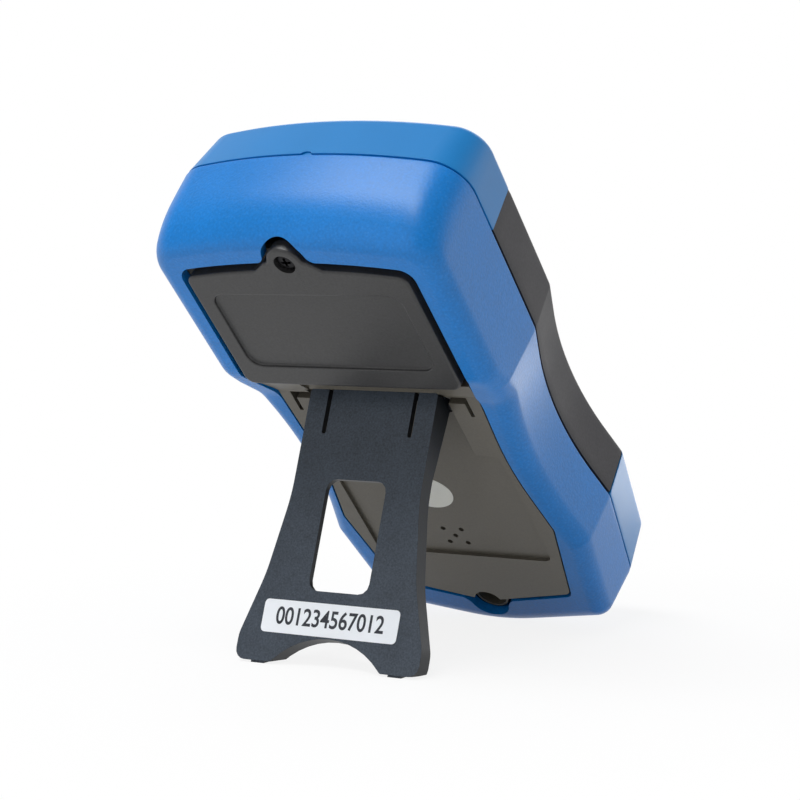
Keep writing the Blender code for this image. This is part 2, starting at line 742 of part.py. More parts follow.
def rear_panel():
    """Black inner back: bent plate under the blue rim, raised floor, hinge pocket, tub and screw posts."""
    far = 100.0
    outside = DOOR_Z - 5.0
    bends = (-far, SLOPE_LOW_Y + BEND_LATER, SLOPE_HIGH_Y + BEND_LATER, far)
    plate = [(y, seat_z(y)) for y in bends] + [(y, seat_z(y) + PANEL_T) for y in reversed(bends)]
    panel = common(across(plate, far), prism(rounded_outline(OPENING, -PANEL_FLANGE), -40.0, 0.0))
    common(panel, back_solid(WALL + 0.8 * FIT, open_to=5.0))

    door_edge = DOOR_LOW_Y - 2 * FIT
    surface = [(-far, FLOOR_Z), (SLOPE_FOOT_Y, FLOOR_Z), (door_edge, -HEAD_DEPTH + SLOPE_TOP_SINK)]
    under = [(y, seat_z(y) + PANEL_T / 2) for y in (door_edge, SLOPE_LOW_Y + BEND_LATER, -far)]
    raised = across([*surface, *under], far)
    gaps = (PANEL_GAP, PANEL_GAP, PANEL_LOW_GAP)
    fuse(panel, common(raised, prism(rounded_outline(OPENING, gaps), -40.0, 0.0)))
    hollow_end = NEST_HIGH_Y - 1.0 - POCKET_WALL
    hollow = [(-far, NEST_Z + PANEL_T), (hollow_end, NEST_Z + PANEL_T), (hollow_end, 0.0), (-far, 0.0)]
    inside = prism(rounded_outline(OPENING, GROOVE + PANEL_T, 2), -40.0, 0.0)
    cut(panel, common(across(hollow, far), inside))

    wall = POCKET_HALF + POCKET_WALL
    low, high = NEST_HIGH_Y - 1.0 - POCKET_WALL, POCKET_HIGH_Y + POCKET_WALL
    fuse(panel, box(-wall, wall, low, high, LOW_SEAT_Z + PANEL_T / 2, POCKET_Z + PANEL_T))
    ear = SLOT_HALF + EAR_WALL
    fuse(panel, box(-ear, ear, EAR_LOW_Y, high, LOW_SEAT_Z + PANEL_T / 2, HINGE_Z + PIN_R + FIT + EAR_WALL))
    tub_rise = BATTERY[1] / 2 + 2 * FIT
    tub = (-tub_half(), tub_half(), BATTERY_Y - tub_rise, BATTERY_Y + tub_rise)
    grow = (-TUB_WALL, TUB_WALL, -TUB_WALL, TUB_WALL)
    fuse(panel, box(*[a + b for a, b in zip(tub, grow)], HEAD_SEAT_Z + PANEL_T / 2, TUB_FLOOR_Z + TUB_WALL))
    fuse(panel, drum(POST_R, HEAD_SEAT_Z + PANEL_T / 2, DOOR_SCREW_TIP_Z + 2.0, (0.0, DOOR_BOSS_Y), 12))
    fuse(panel, drum(LOW_BOSS_R, FLOOR_Z + LOW_BOSS_SINK, POST_MEET_Z, (0.0, LOW_SCREW_Y), 20))
    for sign in (-1, 1):
        place = (sign * HIGH_SCREW_X, HIGH_SCREW_Y)
        fuse(panel, drum(POST_R, seat_z(HIGH_SCREW_Y - POST_R) + PANEL_T / 2, POST_MEET_Z, place, 12))

    cut(panel, across(pocket_profile(), POCKET_HALF))
    nest_centre = (0.0, (NEST_HIGH_Y + NEST_LOW_Y) / 2)
    nest = rectangle(2 * NEST_HALF, NEST_HIGH_Y - NEST_LOW_Y, NEST_R, nest_centre, 2)
    cut(panel, prism(nest, outside, NEST_Z))
    shelf = (-SHELF_HALF, SHELF_HALF, POCKET_HIGH_Y - 1.0, door_edge + 1.0)
    cut(panel, box(*shelf, outside, FLOOR_Z - SHELF_SINK))
    for sign in (-1, 1):
        bar = sorted((sign * (POCKET_HALF - 1.0), sign * SLOT_HALF))
        cut(panel, box(*bar, SLOT_LOW_Y, SLOT_HIGH_Y, outside, FLOOR_Z + SLOT_DEPTH))
        leg = sorted((sign * (SLOT_HALF - SLOT_LEG_W), sign * SLOT_HALF))
        cut(panel, box(*leg, SLOT_LEG_Y, SLOT_HIGH_Y, outside, FLOOR_Z + SLOT_DEPTH))
        reach = sign * (STAND_HALF + PIN_LENGTH + FIT)
        cut(panel, rod_x(PIN_R + FIT, sign * (POCKET_HALF - 1.0), reach, HINGE_Y, HINGE_Z, 12))
        cut(panel, drum(SCREW_WELL_R, outside, SCREW_SEAT_Z, (sign * HIGH_SCREW_X, HIGH_SCREW_Y), 16))
        cut(panel, drum(SCREW_CLEAR_R, outside, 0.0, (sign * HIGH_SCREW_X, HIGH_SCREW_Y), 12))
    cut(panel, box(*tub, outside, TUB_FLOOR_Z))
    cut(panel, drum(LOW_WELL_R, outside, SCREW_SEAT_Z, (0.0, LOW_SCREW_Y)))
    cut(panel, drum(SCREW_CLEAR_R, outside, 0.0, (0.0, LOW_SCREW_Y), 12))
    cut(panel, drum(SCREW_SHANK_R + FIT, outside, DOOR_SCREW_TIP_Z + FIT, (0.0, DOOR_BOSS_Y), 12))
    for i, j in ((0, 0), (1, 1), (1, -1), (-1, 1), (-1, -1)):
        place = (i * BUZZER_PITCH / 2, BUZZER_Y + j * BUZZER_PITCH / 2)
        cut(panel, drum(BUZZER_HOLE_R, outside, 0.0, place, 8))
    return finish(panel, "rear_panel", PANEL_BLACK, 0.5)


def tub_half():
    """Half the inner length of the battery tub: battery, studs and snap end to end."""
    return (BATTERY[0] + STUD_H + SNAP_T + 5 * FIT) / 2


def battery_door():
    rings = [(0.0, HEAD_SEAT_Z - FIT), (0.0, DOOR_Z + DOOR_BEVEL), (DOOR_BEVEL, DOOR_Z)]
    door = loft([at(door_outline(inset), z) for inset, z in rings])
    boss = [(DOOR_BOSS_R - inset, z) for inset, z in rings]
    fuse(door, turned(boss, (0.0, DOOR_BOSS_Y), 24))
    half = OPENING_HALF - GROOVE - DOOR_PANEL_MARGIN
    low = DOOR_LOW_Y + DOOR_PANEL_LOW_MARGIN
    high = OPENING_CORNER_Y - GROOVE - DOOR_PANEL_TOP_MARGIN
    frame = rectangle(2 * half, high - low, 4.0, (0.0, (low + high) / 2))
    cut(door, prism(frame, DOOR_Z - 5.0, DOOR_Z + DOOR_PANEL_SINK))
    seat = HEAD_SEAT_Z - FIT - 1.2
    cut(door, drum(SCREW_HEAD_R + FIT, DOOR_Z - 5.0, seat, (0.0, DOOR_BOSS_Y)))
    cut(door, drum(SCREW_CLEAR_R, DOOR_Z - 5.0, 0.0, (0.0, DOOR_BOSS_Y), 16))
    finish(door, "battery_door", DOOR_BLACK, 0.42)
    screw("battery_door_screw", (0.0, DOOR_BOSS_Y), seat, DOOR_SCREW_TIP_Z)


def screw(name, place, seat, tip, shank=SCREW_SHANK_R, head=SCREW_HEAD_R, thickness=SCREW_HEAD_T):
    """Pan-head screw driven from the back, its head resting on the seat level."""
    top = seat - FIT - thickness
    profile = [(0.8 * head, top), (head, top + 0.4 * thickness), (head, seat - FIT), (shank, seat - FIT)]
    profile += [(shank, tip - shank), (0.3 * shank, tip)]
    return finish(turned(profile, place, 8), name, STEEL, 0.35, 1.0)


def grip_block(clear=0.0):
    """Right-hand block that bounds the side grips along the case."""
    return box(20.0, 80.0, GRIP_LOW_Y - clear, GRIP_HIGH_Y + clear, PARTING_GAP + FIT - clear, 40.0)


def grip_zone(clear=0.0):
    """Space of one grip: the block outside the grip's seat and outside the bare front."""
    zone = grip_block(clear)
    cut(zone, front_solid(GRIP_T + clear, low=-5.0))
    inner = front_inset(FRONT_DEPTH - FRONT_EDGE_R)[0] + GRIP_WRAP + clear
    return cut(zone, prism(rounded_outline(CASE, inner), -10.0, 50.0))


def mirrored(shape):
    shape.data.transform(Matrix.Scale(-1.0, 4, (1.0, 0.0, 0.0)))
    shape.data.flip_normals()
    return shape


def front_shell():
    shell = front_solid()
    cut(shell, front_solid(WALL, low=-5.0))
    cut(shell, prism(rounded_outline(CASE, FRONT_RIM), 0.0, 40.0))
    cut(shell, grip_zone(FIT))
    cut(shell, mirrored(grip_zone(FIT)))
    finish(shell, "front_shell", BLUE, 0.45)
    right = common(grip_zone(), front_solid())
    finish(right, "side_grip_right", GRIP_BLACK, 0.7)
    left = mirrored(common(grip_zone(), front_solid()))
    finish(left, "side_grip_left", GRIP_BLACK, 0.7)


def detent_ring():
    """Ring round the rotor with a shallow scallop for each selector position."""
    outer = circle(DETENT_RING_R + DETENT_RING_T, (0.0, KNOB_Y), 32)
    ring = prism(outer, ROTOR_Z + FIT, FACE_BACK_Z + 1.0)
    inner = []
    for k in range(2 * DETENT_COUNT):
        angle = math.pi * k / DETENT_COUNT
        radius = DETENT_RING_R + DETENT_DEPTH * (1 - k % 2)
        inner.append(Vector((radius * math.cos(angle), KNOB_Y + radius * math.sin(angle))))
    return cut(ring, prism(inner, ROTOR_Z - 5.0, FACE_BACK_Z + 0.4))


def front_case():
    """Dark front housing: face in the blue frame, display window, key holes, jack wells and posts."""
    wide, tight = front_inset(FRONT_SEAT_Z, WALL)[1] + 2 * FIT, FRONT_RIM + FIT
    steps = [(wide, FRONT_SEAT_Z - FRONT_FLANGE_T), (wide, FRONT_SEAT_Z), (tight, FRONT_SEAT_Z)]
    steps += [(tight, FACE_Z - FIT), (tight + FIT, FACE_Z)]
    case = loft([at(rounded_outline(CASE, inset, 4), z) for inset, z in steps])
    cut(case, prism(rounded_outline(CASE, tight + 2.0, HIDDEN_STEPS), 0.0, FACE_BACK_Z))
    fuse(case, detent_ring())
    for x, y in BOARD_POSTS:
        fuse(case, drum(BOARD_POST_R, BOARD_SEAT_Z, FACE_BACK_Z + 1.0, (x, y), 8))
    case_posts = [(0.0, LOW_SCREW_Y), (-HIGH_SCREW_X, HIGH_SCREW_Y), (HIGH_SCREW_X, HIGH_SCREW_Y)]
    for place in case_posts:
        fuse(case, drum(POST_R, POST_MEET_Z + FIT, FACE_BACK_Z + 1.0, place, 10))
    for x in JACK_XS:
        fuse(case, drum(JACK_WELL_R + JACK_WELL_T, JACK_FLOOR_Z, FACE_BACK_Z + 1.0, (x, JACK_Y), 12))

    pocket = rectangle(LENS[0] + 2 * FIT, LENS[1] + 2 * FIT, LENS_R, (0.0, DISPLAY_Y))
    cut(case, prism(pocket, lens_back() - FIT, 40.0))
    view = rectangle(LENS[0] - 2 * LENS_LEDGE, LENS[1] - 2 * LENS_LEDGE, LENS_VIEW_R, (0.0, DISPLAY_Y))
    cut(case, prism(view, 5.0, 40.0))
    for x in BUTTON_XS:
        hole = rectangle(BUTTON[0] + 2 * FIT, BUTTON[1] + 2 * FIT, BUTTON_R + FIT, (x, BUTTON_Y), 2)
        cut(case, prism(hole, 5.0, 40.0))
    cut(case, drum(KNOB_HUB_R + FIT, 5.0, 40.0, (0.0, KNOB_Y)))
    for x in JACK_XS:
        cut(case, drum(JACK_WELL_R, JACK_FLOOR_Z - 5.0, 40.0, (x, JACK_Y), 16))
    for x, y in BOARD_POSTS:
        cut(case, drum(BOARD_SCREW_R + FIT, 0.0, FACE_BACK_Z - 1.0, (x, y), 8))
    for place in case_posts:
        cut(case, drum(SCREW_SHANK_R + FIT, POST_MEET_Z - 5.0, SCREW_TIP_Z + 1.0, place, 10))
    return finish(case, "front_case", FACE_GREY, 0.55)


def lens_back():
    return FACE_Z - LENS_SINK - LENS[2]


def display():
    centre = (0.0, DISPLAY_Y)
    lens = prism(rectangle(LENS[0], LENS[1], LENS_R, centre), lens_back(), FACE_Z - LENS_SINK)
    finish(lens, "display_window", (60, 66, 70), 0.08)
    glass_top = FACE_BACK_Z - FIT
    glass_low = glass_top - GLASS[2]
    glass = prism(rectangle(GLASS[0], GLASS[1], 0.5, centre, 1), glass_low, glass_top)
    finish(glass, "lcd_glass", (168, 180, 160), 0.12)
    holder_top = glass_low - FIT
    outer = rectangle(GLASS[0] + 2 * HOLDER_RIM, GLASS[1] + 2 * HOLDER_RIM, 1.5, centre, 2)
    holder = prism(outer, BOARD_SEAT_Z, holder_top + FIT + 1.2)
    inside = (GLASS[0] - 2 * HOLDER_RIM, GLASS[1] - 2 * HOLDER_RIM)
    cut(holder, prism(rectangle(*inside, 0.8, centre, 1), 0.0, 40.0))
    cut(holder, prism(rectangle(GLASS[0] + 2 * FIT, GLASS[1] + 2 * FIT, 0.5, centre, 1), holder_top, 40.0))
    finish(holder, "lcd_holder", (225, 225, 220), 0.5)
    low_edge = DISPLAY_Y - inside[1] / 2 + FIT
    strip_y = (low_edge, low_edge + ELASTOMER_W)
    strip = box(-inside[0] / 2 + 2.0, inside[0] / 2 - 2.0, *strip_y, BOARD_SEAT_Z, holder_top)
    finish(strip, "elastomer_strip", (205, 130, 150), 0.6)
    light_y = (strip_y[1] + FIT, DISPLAY_Y + inside[1] / 2 - 2 * FIT)
    light = box(-inside[0] / 2 + 2 * FIT, inside[0] / 2 - 2 * FIT, *light_y, holder_top - 2.6, holder_top)
    finish(light, "backlight_panel", (235, 238, 240), 0.4)


def circuit_board():
    inset = front_inset(BOARD_FRONT_Z)[1] + WALL + BOARD_MARGIN
    board = prism(rounded_outline(CASE, inset, HIDDEN_STEPS), BOARD_Z, BOARD_FRONT_Z)
    cut(board, box(-80.0, 80.0, -120.0, BOARD_LOW_Y, 0.0, 20.0))
    for sign in (-1, 1):
        cut(board, drum(POST_R + 2 * FIT, 0.0, 20.0, (sign * HIGH_SCREW_X, HIGH_SCREW_Y), 16))
    for x, y in BOARD_POSTS:
        cut(board, drum(BOARD_SCREW_R + FIT, 0.0, 20.0, (x, y), 8))
    finish(board, "circuit_board", BOARD_GREEN, 0.4)
    for number, (x, y) in enumerate(BOARD_POSTS, 1):
        sizes = (BOARD_SCREW_R, BOARD_SCREW_HEAD_R, 1.4)
        screw(f"board_screw_{number}", (x, y), BOARD_Z, FACE_BACK_Z - 2.0, *sizes)


def selector():
    """Pointer knob, its rotor over the board, wipers, and two sprung detent balls; all turn together."""
    pivot = (0.0, KNOB_Y, FACE_Z)
    centre = (0.0, KNOB_Y)
    base = FACE_Z + PARTING_GAP
    skirt_top = base + KNOB_SKIRT
    shoulder = ROTOR_TOP_Z + FIT
    profile = [(KNOB_SHAFT_R, ROTOR_Z + FIT), (KNOB_SHAFT_R, shoulder), (KNOB_HUB_R, shoulder)]
    profile += [(KNOB_HUB_R, base), (KNOB_R, base), (KNOB_R, base + 1.0), (KNOB_R - 1.2, skirt_top)]
    profile += [(0.75 * KNOB_R, skirt_top + 0.7), (2.0, skirt_top + 0.9)]
    knob = turned(profile, centre, 24)
    grip_top = skirt_top + KNOB_GRIP_T
    bar = []
    for inset, z in ((0.0, skirt_top - 0.5), (0.8, grip_top - 1.2), (1.3, grip_top - 0.4), (2.1, grip_top)):
        size = (2 * (KNOB_GRIP_HALF - inset), 2 * (KNOB_R - 1.6 - inset))
        bar.append(at(rectangle(*size, KNOB_GRIP_HALF - inset - 0.2, centre, 4), z))
    fuse(knob, loft(bar))
    finish(knob, "selector_knob", (48, 50, 54), 0.5, pivot=pivot)

    rotor = drum(ROTOR_R, ROTOR_Z, ROTOR_TOP_Z, centre, 28)
    cut(rotor, drum(KNOB_SHAFT_R + FIT, 0.0, 20.0, centre, 14))
    middle = (ROTOR_Z + ROTOR_TOP_Z) / 2
    bore_end = KNOB_SHAFT_R + 4.5
    ball_x = DETENT_RING_R - FIT - DETENT_BALL_R
    for number, sign in enumerate((-1, 1), 1):
        cut(rotor, rod_x(ROTOR_BORE_R, sign * bore_end, sign * (ROTOR_R + 1.0), KNOB_Y, middle, 12))
        ball = bmesh.new()
        bmesh.ops.create_icosphere(ball, subdivisions=2, radius=DETENT_BALL_R)
        place = (sign * ball_x, KNOB_Y, middle)
        finish(moved(solid(ball), place), f"detent_ball_{number}", STEEL, 0.2, 1.0, pivot)
        coil = coil_spring(bore_end + FIT, ball_x - DETENT_BALL_R - FIT)
        turn = (0.0, "X") if sign > 0 else (math.pi, "Z")
        finish(moved(coil, (0.0, KNOB_Y, middle), turn), f"detent_spring_{number}", STEEL, 0.3, 1.0, pivot)
    finish(rotor, "selector_rotor", (225, 222, 212), 0.5, pivot=pivot)
    for number, radius in enumerate(WIPER_RADII, 1):
        finish(wiper(radius), f"wiper_{number}", BRASS, 0.3, 1.0, pivot)


def wiper(radius):
    """Bowed contact leaf under the rotor, its middle nearest the board's tracks."""
    length, width, thickness = WIPER
    high = ROTOR_Z - FIT
    low = BOARD_SEAT_Z
    arc = [(length * (k / 8 - 0.5), low + (high - thickness - low) * (k / 4 - 1) ** 2) for k in range(9)]
    ring = [*arc, *[(x, z + thickness) for x, z in reversed(arc)]]
    ends = (KNOB_Y + radius - width / 2, KNOB_Y + radius + width / 2)
    return loft([[Vector((x, y, z)) for x, z in ring] for y in ends])


def coil_spring(start, end):
    """Helical spring along x from start to end: a round wire carried along its helix."""
    per_turn, sides = 6, 4
    rings = []
    pitch = (end - start - 2 * SPRING_WIRE_R) / SPRING_TURNS
    for k in range(per_turn * SPRING_TURNS + 1):
        angle = 2 * math.pi * k / per_turn
        out = Vector((0.0, math.cos(angle), math.sin(angle)))
        along = Vector((1.0, 0.0, 0.0))
        place = Vector((start + SPRING_WIRE_R + pitch * k / per_turn, 0.0, 0.0)) + out * SPRING_COIL_R
        turns = [2 * math.pi * side / sides for side in range(sides)]
        rings.append([place + SPRING_WIRE_R * (math.cos(t) * out + math.sin(t) * along) for t in turns])
    return loft(rings)


def buttons():
    lip_top = FACE_BACK_Z - FIT
    lip_low = lip_top - BUTTON_LIP_T
    top = FACE_Z + BUTTON_PROUD
    dome_top = BOARD_SEAT_Z + KEYPAD_T + DOME_H
    stem_low = dome_top + BUTTON_TRAVEL + FIT
    for number, x in enumerate(BUTTON_XS, 1):
        centre = (x, BUTTON_Y)
        steps = [(BUTTON_LIP, lip_low), (BUTTON_LIP, lip_top), (0.0, lip_top)]
        steps += [(0.0, top - BUTTON_BEVEL), (-BUTTON_BEVEL, top)]
        rings = []
        for grow, z in steps:
            size = (BUTTON[0] + 2 * grow, BUTTON[1] + 2 * grow)
            rings.append(at(rectangle(*size, BUTTON_R + grow, centre, 2), z))
        cap = loft(rings)
        fuse(cap, drum(BUTTON_STEM_R, stem_low, lip_low + 0.5, centre, 10))
        finish(cap, f"button_{number}", (175, 178, 182), 0.6, pivot=(x, BUTTON_Y, top))
    span = BUTTON_XS[-1] - BUTTON_XS[0] + 10.0
    mat = prism(rectangle(span, 8.0, 1.5, (0.0, BUTTON_Y), 2), BOARD_SEAT_Z, BOARD_SEAT_Z + KEYPAD_T)
    for x in BUTTON_XS:
        dome = [(DOME_R, BOARD_SEAT_Z + 0.5), (DOME_R, dome_top - DOME_H), (BUTTON_STEM_R, dome_top)]
        fuse(mat, turned(dome, (x, BUTTON_Y), 10))
    finish(mat, "keypad", (60, 62, 66), 0.8)


def jacks():
    for number, x in enumerate(JACK_XS, 1):
        sleeve = drum(JACK_R, BOARD_SEAT_Z, JACK_FLOOR_Z - FIT, (x, JACK_Y), 14)
        cut(sleeve, drum(JACK_BORE_R, BOARD_SEAT_Z + 1.2, 40.0, (x, JACK_Y), 14))
        finish(sleeve, f"jack_{number}", BRASS, 0.25, 1.0)


def fuses():
    """Cartridge fuses under the board, each held by two spring clips."""
    clip_number = 0
    for number, (y, radius, length) in enumerate(FUSES, 1):
        middle = BOARD_Z - FIT - FUSE_LIFT - radius
        half = length / 2
        body = rod_x(0.92 * radius, -half + 0.5, half - 0.5, y, middle, 12)
        for sign in (-1, 1):
            ends = sorted((sign * half, sign * (half - FUSE_CAP)))
            fuse(body, rod_x(radius, *ends, y, middle, 12))
        finish(body, f"fuse_{number}", (215, 210, 200), 0.3)
        for sign in (-1, 1):
            clip_number += 1
            x = sign * (half - FUSE_CAP / 2)
            low, high = x - FUSE_CLIP_W / 2, x + FUSE_CLIP_W / 2
            outer = radius + FIT + 0.8
            clip = box(low, high, y - outer, y + outer, middle - 0.6 * radius, BOARD_Z - FIT)
            cut(clip, rod_x(radius + FIT, low - 1.0, high + 1.0, y, middle, 12))
            mouth = 0.7 * radius
            cut(clip, box(low - 1.0, high + 1.0, y - mouth, y + mouth, middle - 2 * radius, middle))
            finish(clip, f"fuse_clip_{clip_number}", BRASS, 0.3, 1.0)


def battery():
    """Block battery in the tub with its snap connector; the studs point along +x."""
    length, height, depth = BATTERY
    end = -tub_half() + FIT
    low = TUB_FLOOR_Z - FIT - depth
    case = prism(rectangle(length, height, BATTERY_R, (end + length / 2, BATTERY_Y)), low, low + depth)
    middle = low + depth / 2
    top = end + length
    for sign, radius in zip((-1, 1), STUD_R):
        fuse(case, rod_x(radius, top - 0.5, top + STUD_H, BATTERY_Y + sign * STUD_PITCH / 2, middle, 12))
    finish(case, "battery", (40, 42, 48), 0.35)
    start = top + FIT
    run = SNAP_T + STUD_H
    pad = rectangle(run, 0.9 * height, 1.0, (start + run / 2, BATTERY_Y), 2)
    snap = prism(pad, middle - SNAP_W / 2, middle + SNAP_W / 2)
    for sign, radius in zip((-1, 1), STUD_R):
        place = BATTERY_Y + sign * STUD_PITCH / 2
        cut(snap, rod_x(radius + FIT, start - 1.0, top + STUD_H + FIT, place, middle, 12))
    finish(snap, "battery_snap", (30, 30, 32), 0.5)


def buzzer():
    top = NEST_Z + PANEL_T + FIT
    low = top + BUZZER_T
    profile = [(BUZZER_R, top), (BUZZER_R, low - BUZZER_BEVEL), (BUZZER_R - BUZZER_BEVEL, low)]
    disc = turned(profile, (0.0, BUZZER_Y), 20)
    cut(disc, drum(2.0, top - 1.0, top + 1.5, (0.0, BUZZER_Y), 12))
    finish(disc, "buzzer", (38, 38, 40), 0.5)


def case_screws():
    places = {"case_screw_low": (0.0, LOW_SCREW_Y)}
    places["case_screw_left"] = (-HIGH_SCREW_X, HIGH_SCREW_Y)
    places["case_screw_right"] = (HIGH_SCREW_X, HIGH_SCREW_Y)
    for name, place in places.items():
        screw(name, place, SCREW_SEAT_Z, SCREW_TIP_Z)


def lean_angle(shell):
    """Lean back from upright at which the stand's feet and the case's bottom edge share the table."""
    points = [vertex.co / MM for vertex in shell.data.vertices if vertex.co.y < 0]
    opened = Matrix.Rotation(OPEN_ANGLE, 2)
    lean = OPEN_ANGLE / 2
    near = -HINGE_TO_FACE + PAD_EDGE
    for _ in range(12):
        foot = Vector((HINGE_Y, HINGE_Z)) + opened @ Vector((foot_line(lean, near, PAD_DROP), near))
        lean = max(math.atan2(foot.x - p.y, p.z - foot.y) for p in points)
    return lean


def stand_on_table(meter, lean):
    """Leans the meter back, with the lowest points on z = 0 and the origin under the middle of its box."""
    meter.rotation_euler = (math.pi / 2 - lean, 0.0, 0.0)
    bpy.context.view_layer.update()
    points = []
    for part in meter.children:
        points += [part.matrix_world @ vertex.co for vertex in part.data.vertices]
    low = [min(p[axis] for p in points) for axis in range(3)]
    high = [max(p[axis] for p in points) for axis in range(3)]
    meter.location = (-(low[0] + high[0]) / 2, -(low[1] + high[1]) / 2, -low[2])
    bpy.context.view_layer.update()


def main():
    clear_scene()
    meter = bpy.data.objects.new("meter", None)
    bpy.context.scene.collection.objects.link(meter)
    shell = rear_shell()
    lean = lean_angle(shell)
    front_shell()
    front_case()
    rear_panel()
    battery_door()
    kickstand(lean)
    display()
    circuit_board()
    selector()
    buttons()
    jacks()
    fuses()
    battery()
    buzzer()
    case_screws()
    stand_on_table(meter, lean)


main()
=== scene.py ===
"""Looks of a handheld multimeter that leans back on its tilt stand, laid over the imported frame.

Pieces are drawn in the meter's own axes, in millimetres: x to the right seen from the front, y towards the
display end, z out of the front, with z = 0 on the parting plane of the case halves. The stand has axes of its
own at the hinge, turned by its open angle. Both sets of axes are read from the frame's joints.
"""

import json
import math

import bmesh
import bpy
import numpy as np
from mathutils import Matrix


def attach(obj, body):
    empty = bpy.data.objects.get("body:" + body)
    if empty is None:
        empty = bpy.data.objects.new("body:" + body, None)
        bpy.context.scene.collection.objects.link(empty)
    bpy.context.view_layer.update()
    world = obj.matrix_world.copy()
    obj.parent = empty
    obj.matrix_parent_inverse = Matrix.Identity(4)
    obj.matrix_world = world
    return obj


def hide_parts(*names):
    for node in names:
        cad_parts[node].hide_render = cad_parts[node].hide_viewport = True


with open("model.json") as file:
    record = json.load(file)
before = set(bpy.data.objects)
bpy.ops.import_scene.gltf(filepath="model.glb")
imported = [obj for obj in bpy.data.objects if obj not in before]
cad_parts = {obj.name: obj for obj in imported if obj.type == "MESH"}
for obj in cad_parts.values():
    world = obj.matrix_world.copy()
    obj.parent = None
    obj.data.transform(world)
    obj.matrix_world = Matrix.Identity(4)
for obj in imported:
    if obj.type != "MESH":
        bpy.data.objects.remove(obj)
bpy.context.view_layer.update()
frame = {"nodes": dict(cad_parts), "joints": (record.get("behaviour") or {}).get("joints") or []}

MM = 0.001

# Case
WALL = 3.0
HEAD_DEPTH = 25.9
LOW_DEPTH = 20.3
SLOPE_Y = (22.0, 36.0)
BEND_SOFTNESS = 1.6
BEND_STEPS = 9
BACK_DRAFT = 0.15
BACK_EDGE_R = 6.0
SIDE_DRAFT = 0.03
SIDE_EDGE_R = 5.0
BOTTOM_EDGE_R = 6.5
CROWN_BULGE = 0.5
CROWN_SOFT = 15.0
BACK_FLAT = (9.05, 9.05, 9.55)  # insets at the sides, top and bottom
BACK_FLAT_STEPS = (3.0, 7.0, 12.0)
BACK_ROWS = 15
FRONT_DEPTH = 17.5
FRONT_DRAFTS = (0.095, 0.17)  # sides, ends
FRONT_EDGE_R = 2.5
FRONT_RIM = 7.5
FRONT_CAP = 0.5
FRONT_ROWS = 9
PARTING_GAP = 0.4
PRY_NOTCH = (3.2, 1.0, 0.7)  # width, height, depth
FIT = 0.3
FACE_Z = 16.9
TOOL_REACH = 4.0

# Profiles of the case: inset and level
SHELF_Z = -0.02
TONGUE = (
    (1.6, 0.34), (0.75, 0.34), (0.7, SHELF_Z), (0.36, -0.04), (0.14, -0.16), (0.03, -0.36), (0.0, -0.6)
)
BACK_INSIDE = ((0.0, 11.0), (0.6, 5.0), (2.6, 3.2), (5.5, 3.0))  # inset past the wall, height above the back
FRONT_BROW = ((0.36, 0.0), (0.12, 0.16))  # rise above the parting gap
FRONT_FOOT = (0.5, 2.0)  # rise above the parting gap, level
FRONT_LIP = (  # inset past the rim, rise above the front
    (-0.3, 0.0), (-0.08, -0.08), (0.0, -0.3), (0.0, -WALL), (-1.3, -WALL), (-1.9, -WALL - 1.0)
)

# Grips
GRIP_Y = (-38.8, 65.3)
GRIP_T = 1.4
GRIP_WRAP = 5.9
GRIP_SINK = 0.02
GRIP_SOFTNESS = 0.16
GRIP_SHORT = (1, 2)  # points of the outline left free at the top and at the bottom

# Back opening, door and panel
DOOR_Z = -26.7
DOOR_FOOT_Z = -22.9
DOOR_LOW_Y = 33.6
DOOR_EDGE_R = 0.7
DOOR_EDGE_FLAT = 0.3
DOOR_BOSS = (79.6, 5.3)  # y, radius
DOOR_HOLE_R = 3.0
DOOR_FLARE = 1.6
DOOR_TOP_START = 8
DOOR_RECESS = (58.0, 27.7, 54.65, 4.0)  # width, height, y, corner radius
DOOR_SINK = 0.8
DOOR_LIP = (  # growth of the recess, fall
    (0.6, 0.0), (0.3, 0.0), (0.12, 0.05), (0.03, 0.14), (0.0, 0.3), (-0.05, DOOR_SINK - 0.25),
    (-0.2, DOOR_SINK - 0.06), (-0.45, DOOR_SINK), (-1.2, DOOR_SINK),
)
OPENING_CUT = (DOOR_Z - 8.0, -8.0)
LOW_SCREW_Y = -67.4
TOP_BAY = (80.5, 6.6, 3.0, 79.6, 0.0)  # y, radius, flare, y and rise of the opening's edge
LOW_BAY = (LOW_SCREW_Y, 6.3, 5.0, -68.2, 0.2226)
BAY_OVERLAP = 2.0
LOW_WELL = (4.5, -14.2)  # radius, floor
FLOOR_Z = -20.2
NEST_Z = -19.2
STICKER = (8.0, 6.6)  # half width, half height
STICKER_PLACE = (1.5, -18.6)
STICKER_T = 0.08

# Screws
DOOR_SCREW_Z = (-24.1, -13.0)  # seat, tip
LOW_SCREW_Z = (-13.5, 3.0)
SCREW_HEAD_R = 2.7
SCREW_HEAD_T = 1.6
SCREW_CROWN = (0.86, 0.35)  # share of the radius, fall of the full radius
SCREW_EDGE = ((0.95, 0.38), (1.0, 0.62), (1.0, SCREW_HEAD_T))  # share of the radius, fall
SCREW_ROWS = 26
SCREW_POINTS = 96
CROSS_ARM = (0.36, 0.12)  # half width, slope of the sides
CROSS_REACH = (0.58, 0.35)  # share of the head's radius, slope of the ends
CROSS_DEPTH = 0.9
SHANK_R = 1.4
SHANK_TIP = 0.3

# Stand
OPEN_ANGLE = math.radians(64.0)
HINGE_TO_FACE = 7.6
WINDOW_RELIEF = (23.4, 35.4, 5.4)  # width, height, corner radius
WINDOW_Y = -39.3
WINDOW_SHEET = 1.7
LABEL = (42.5, 9.0, 1.3)  # width, height, corner radius
LABEL_PLACE = (0.75, -62.4)
LABEL_T = 0.1
LABEL_TEXT = "001234567012"
LABEL_TEXT_SIZE = 6.6

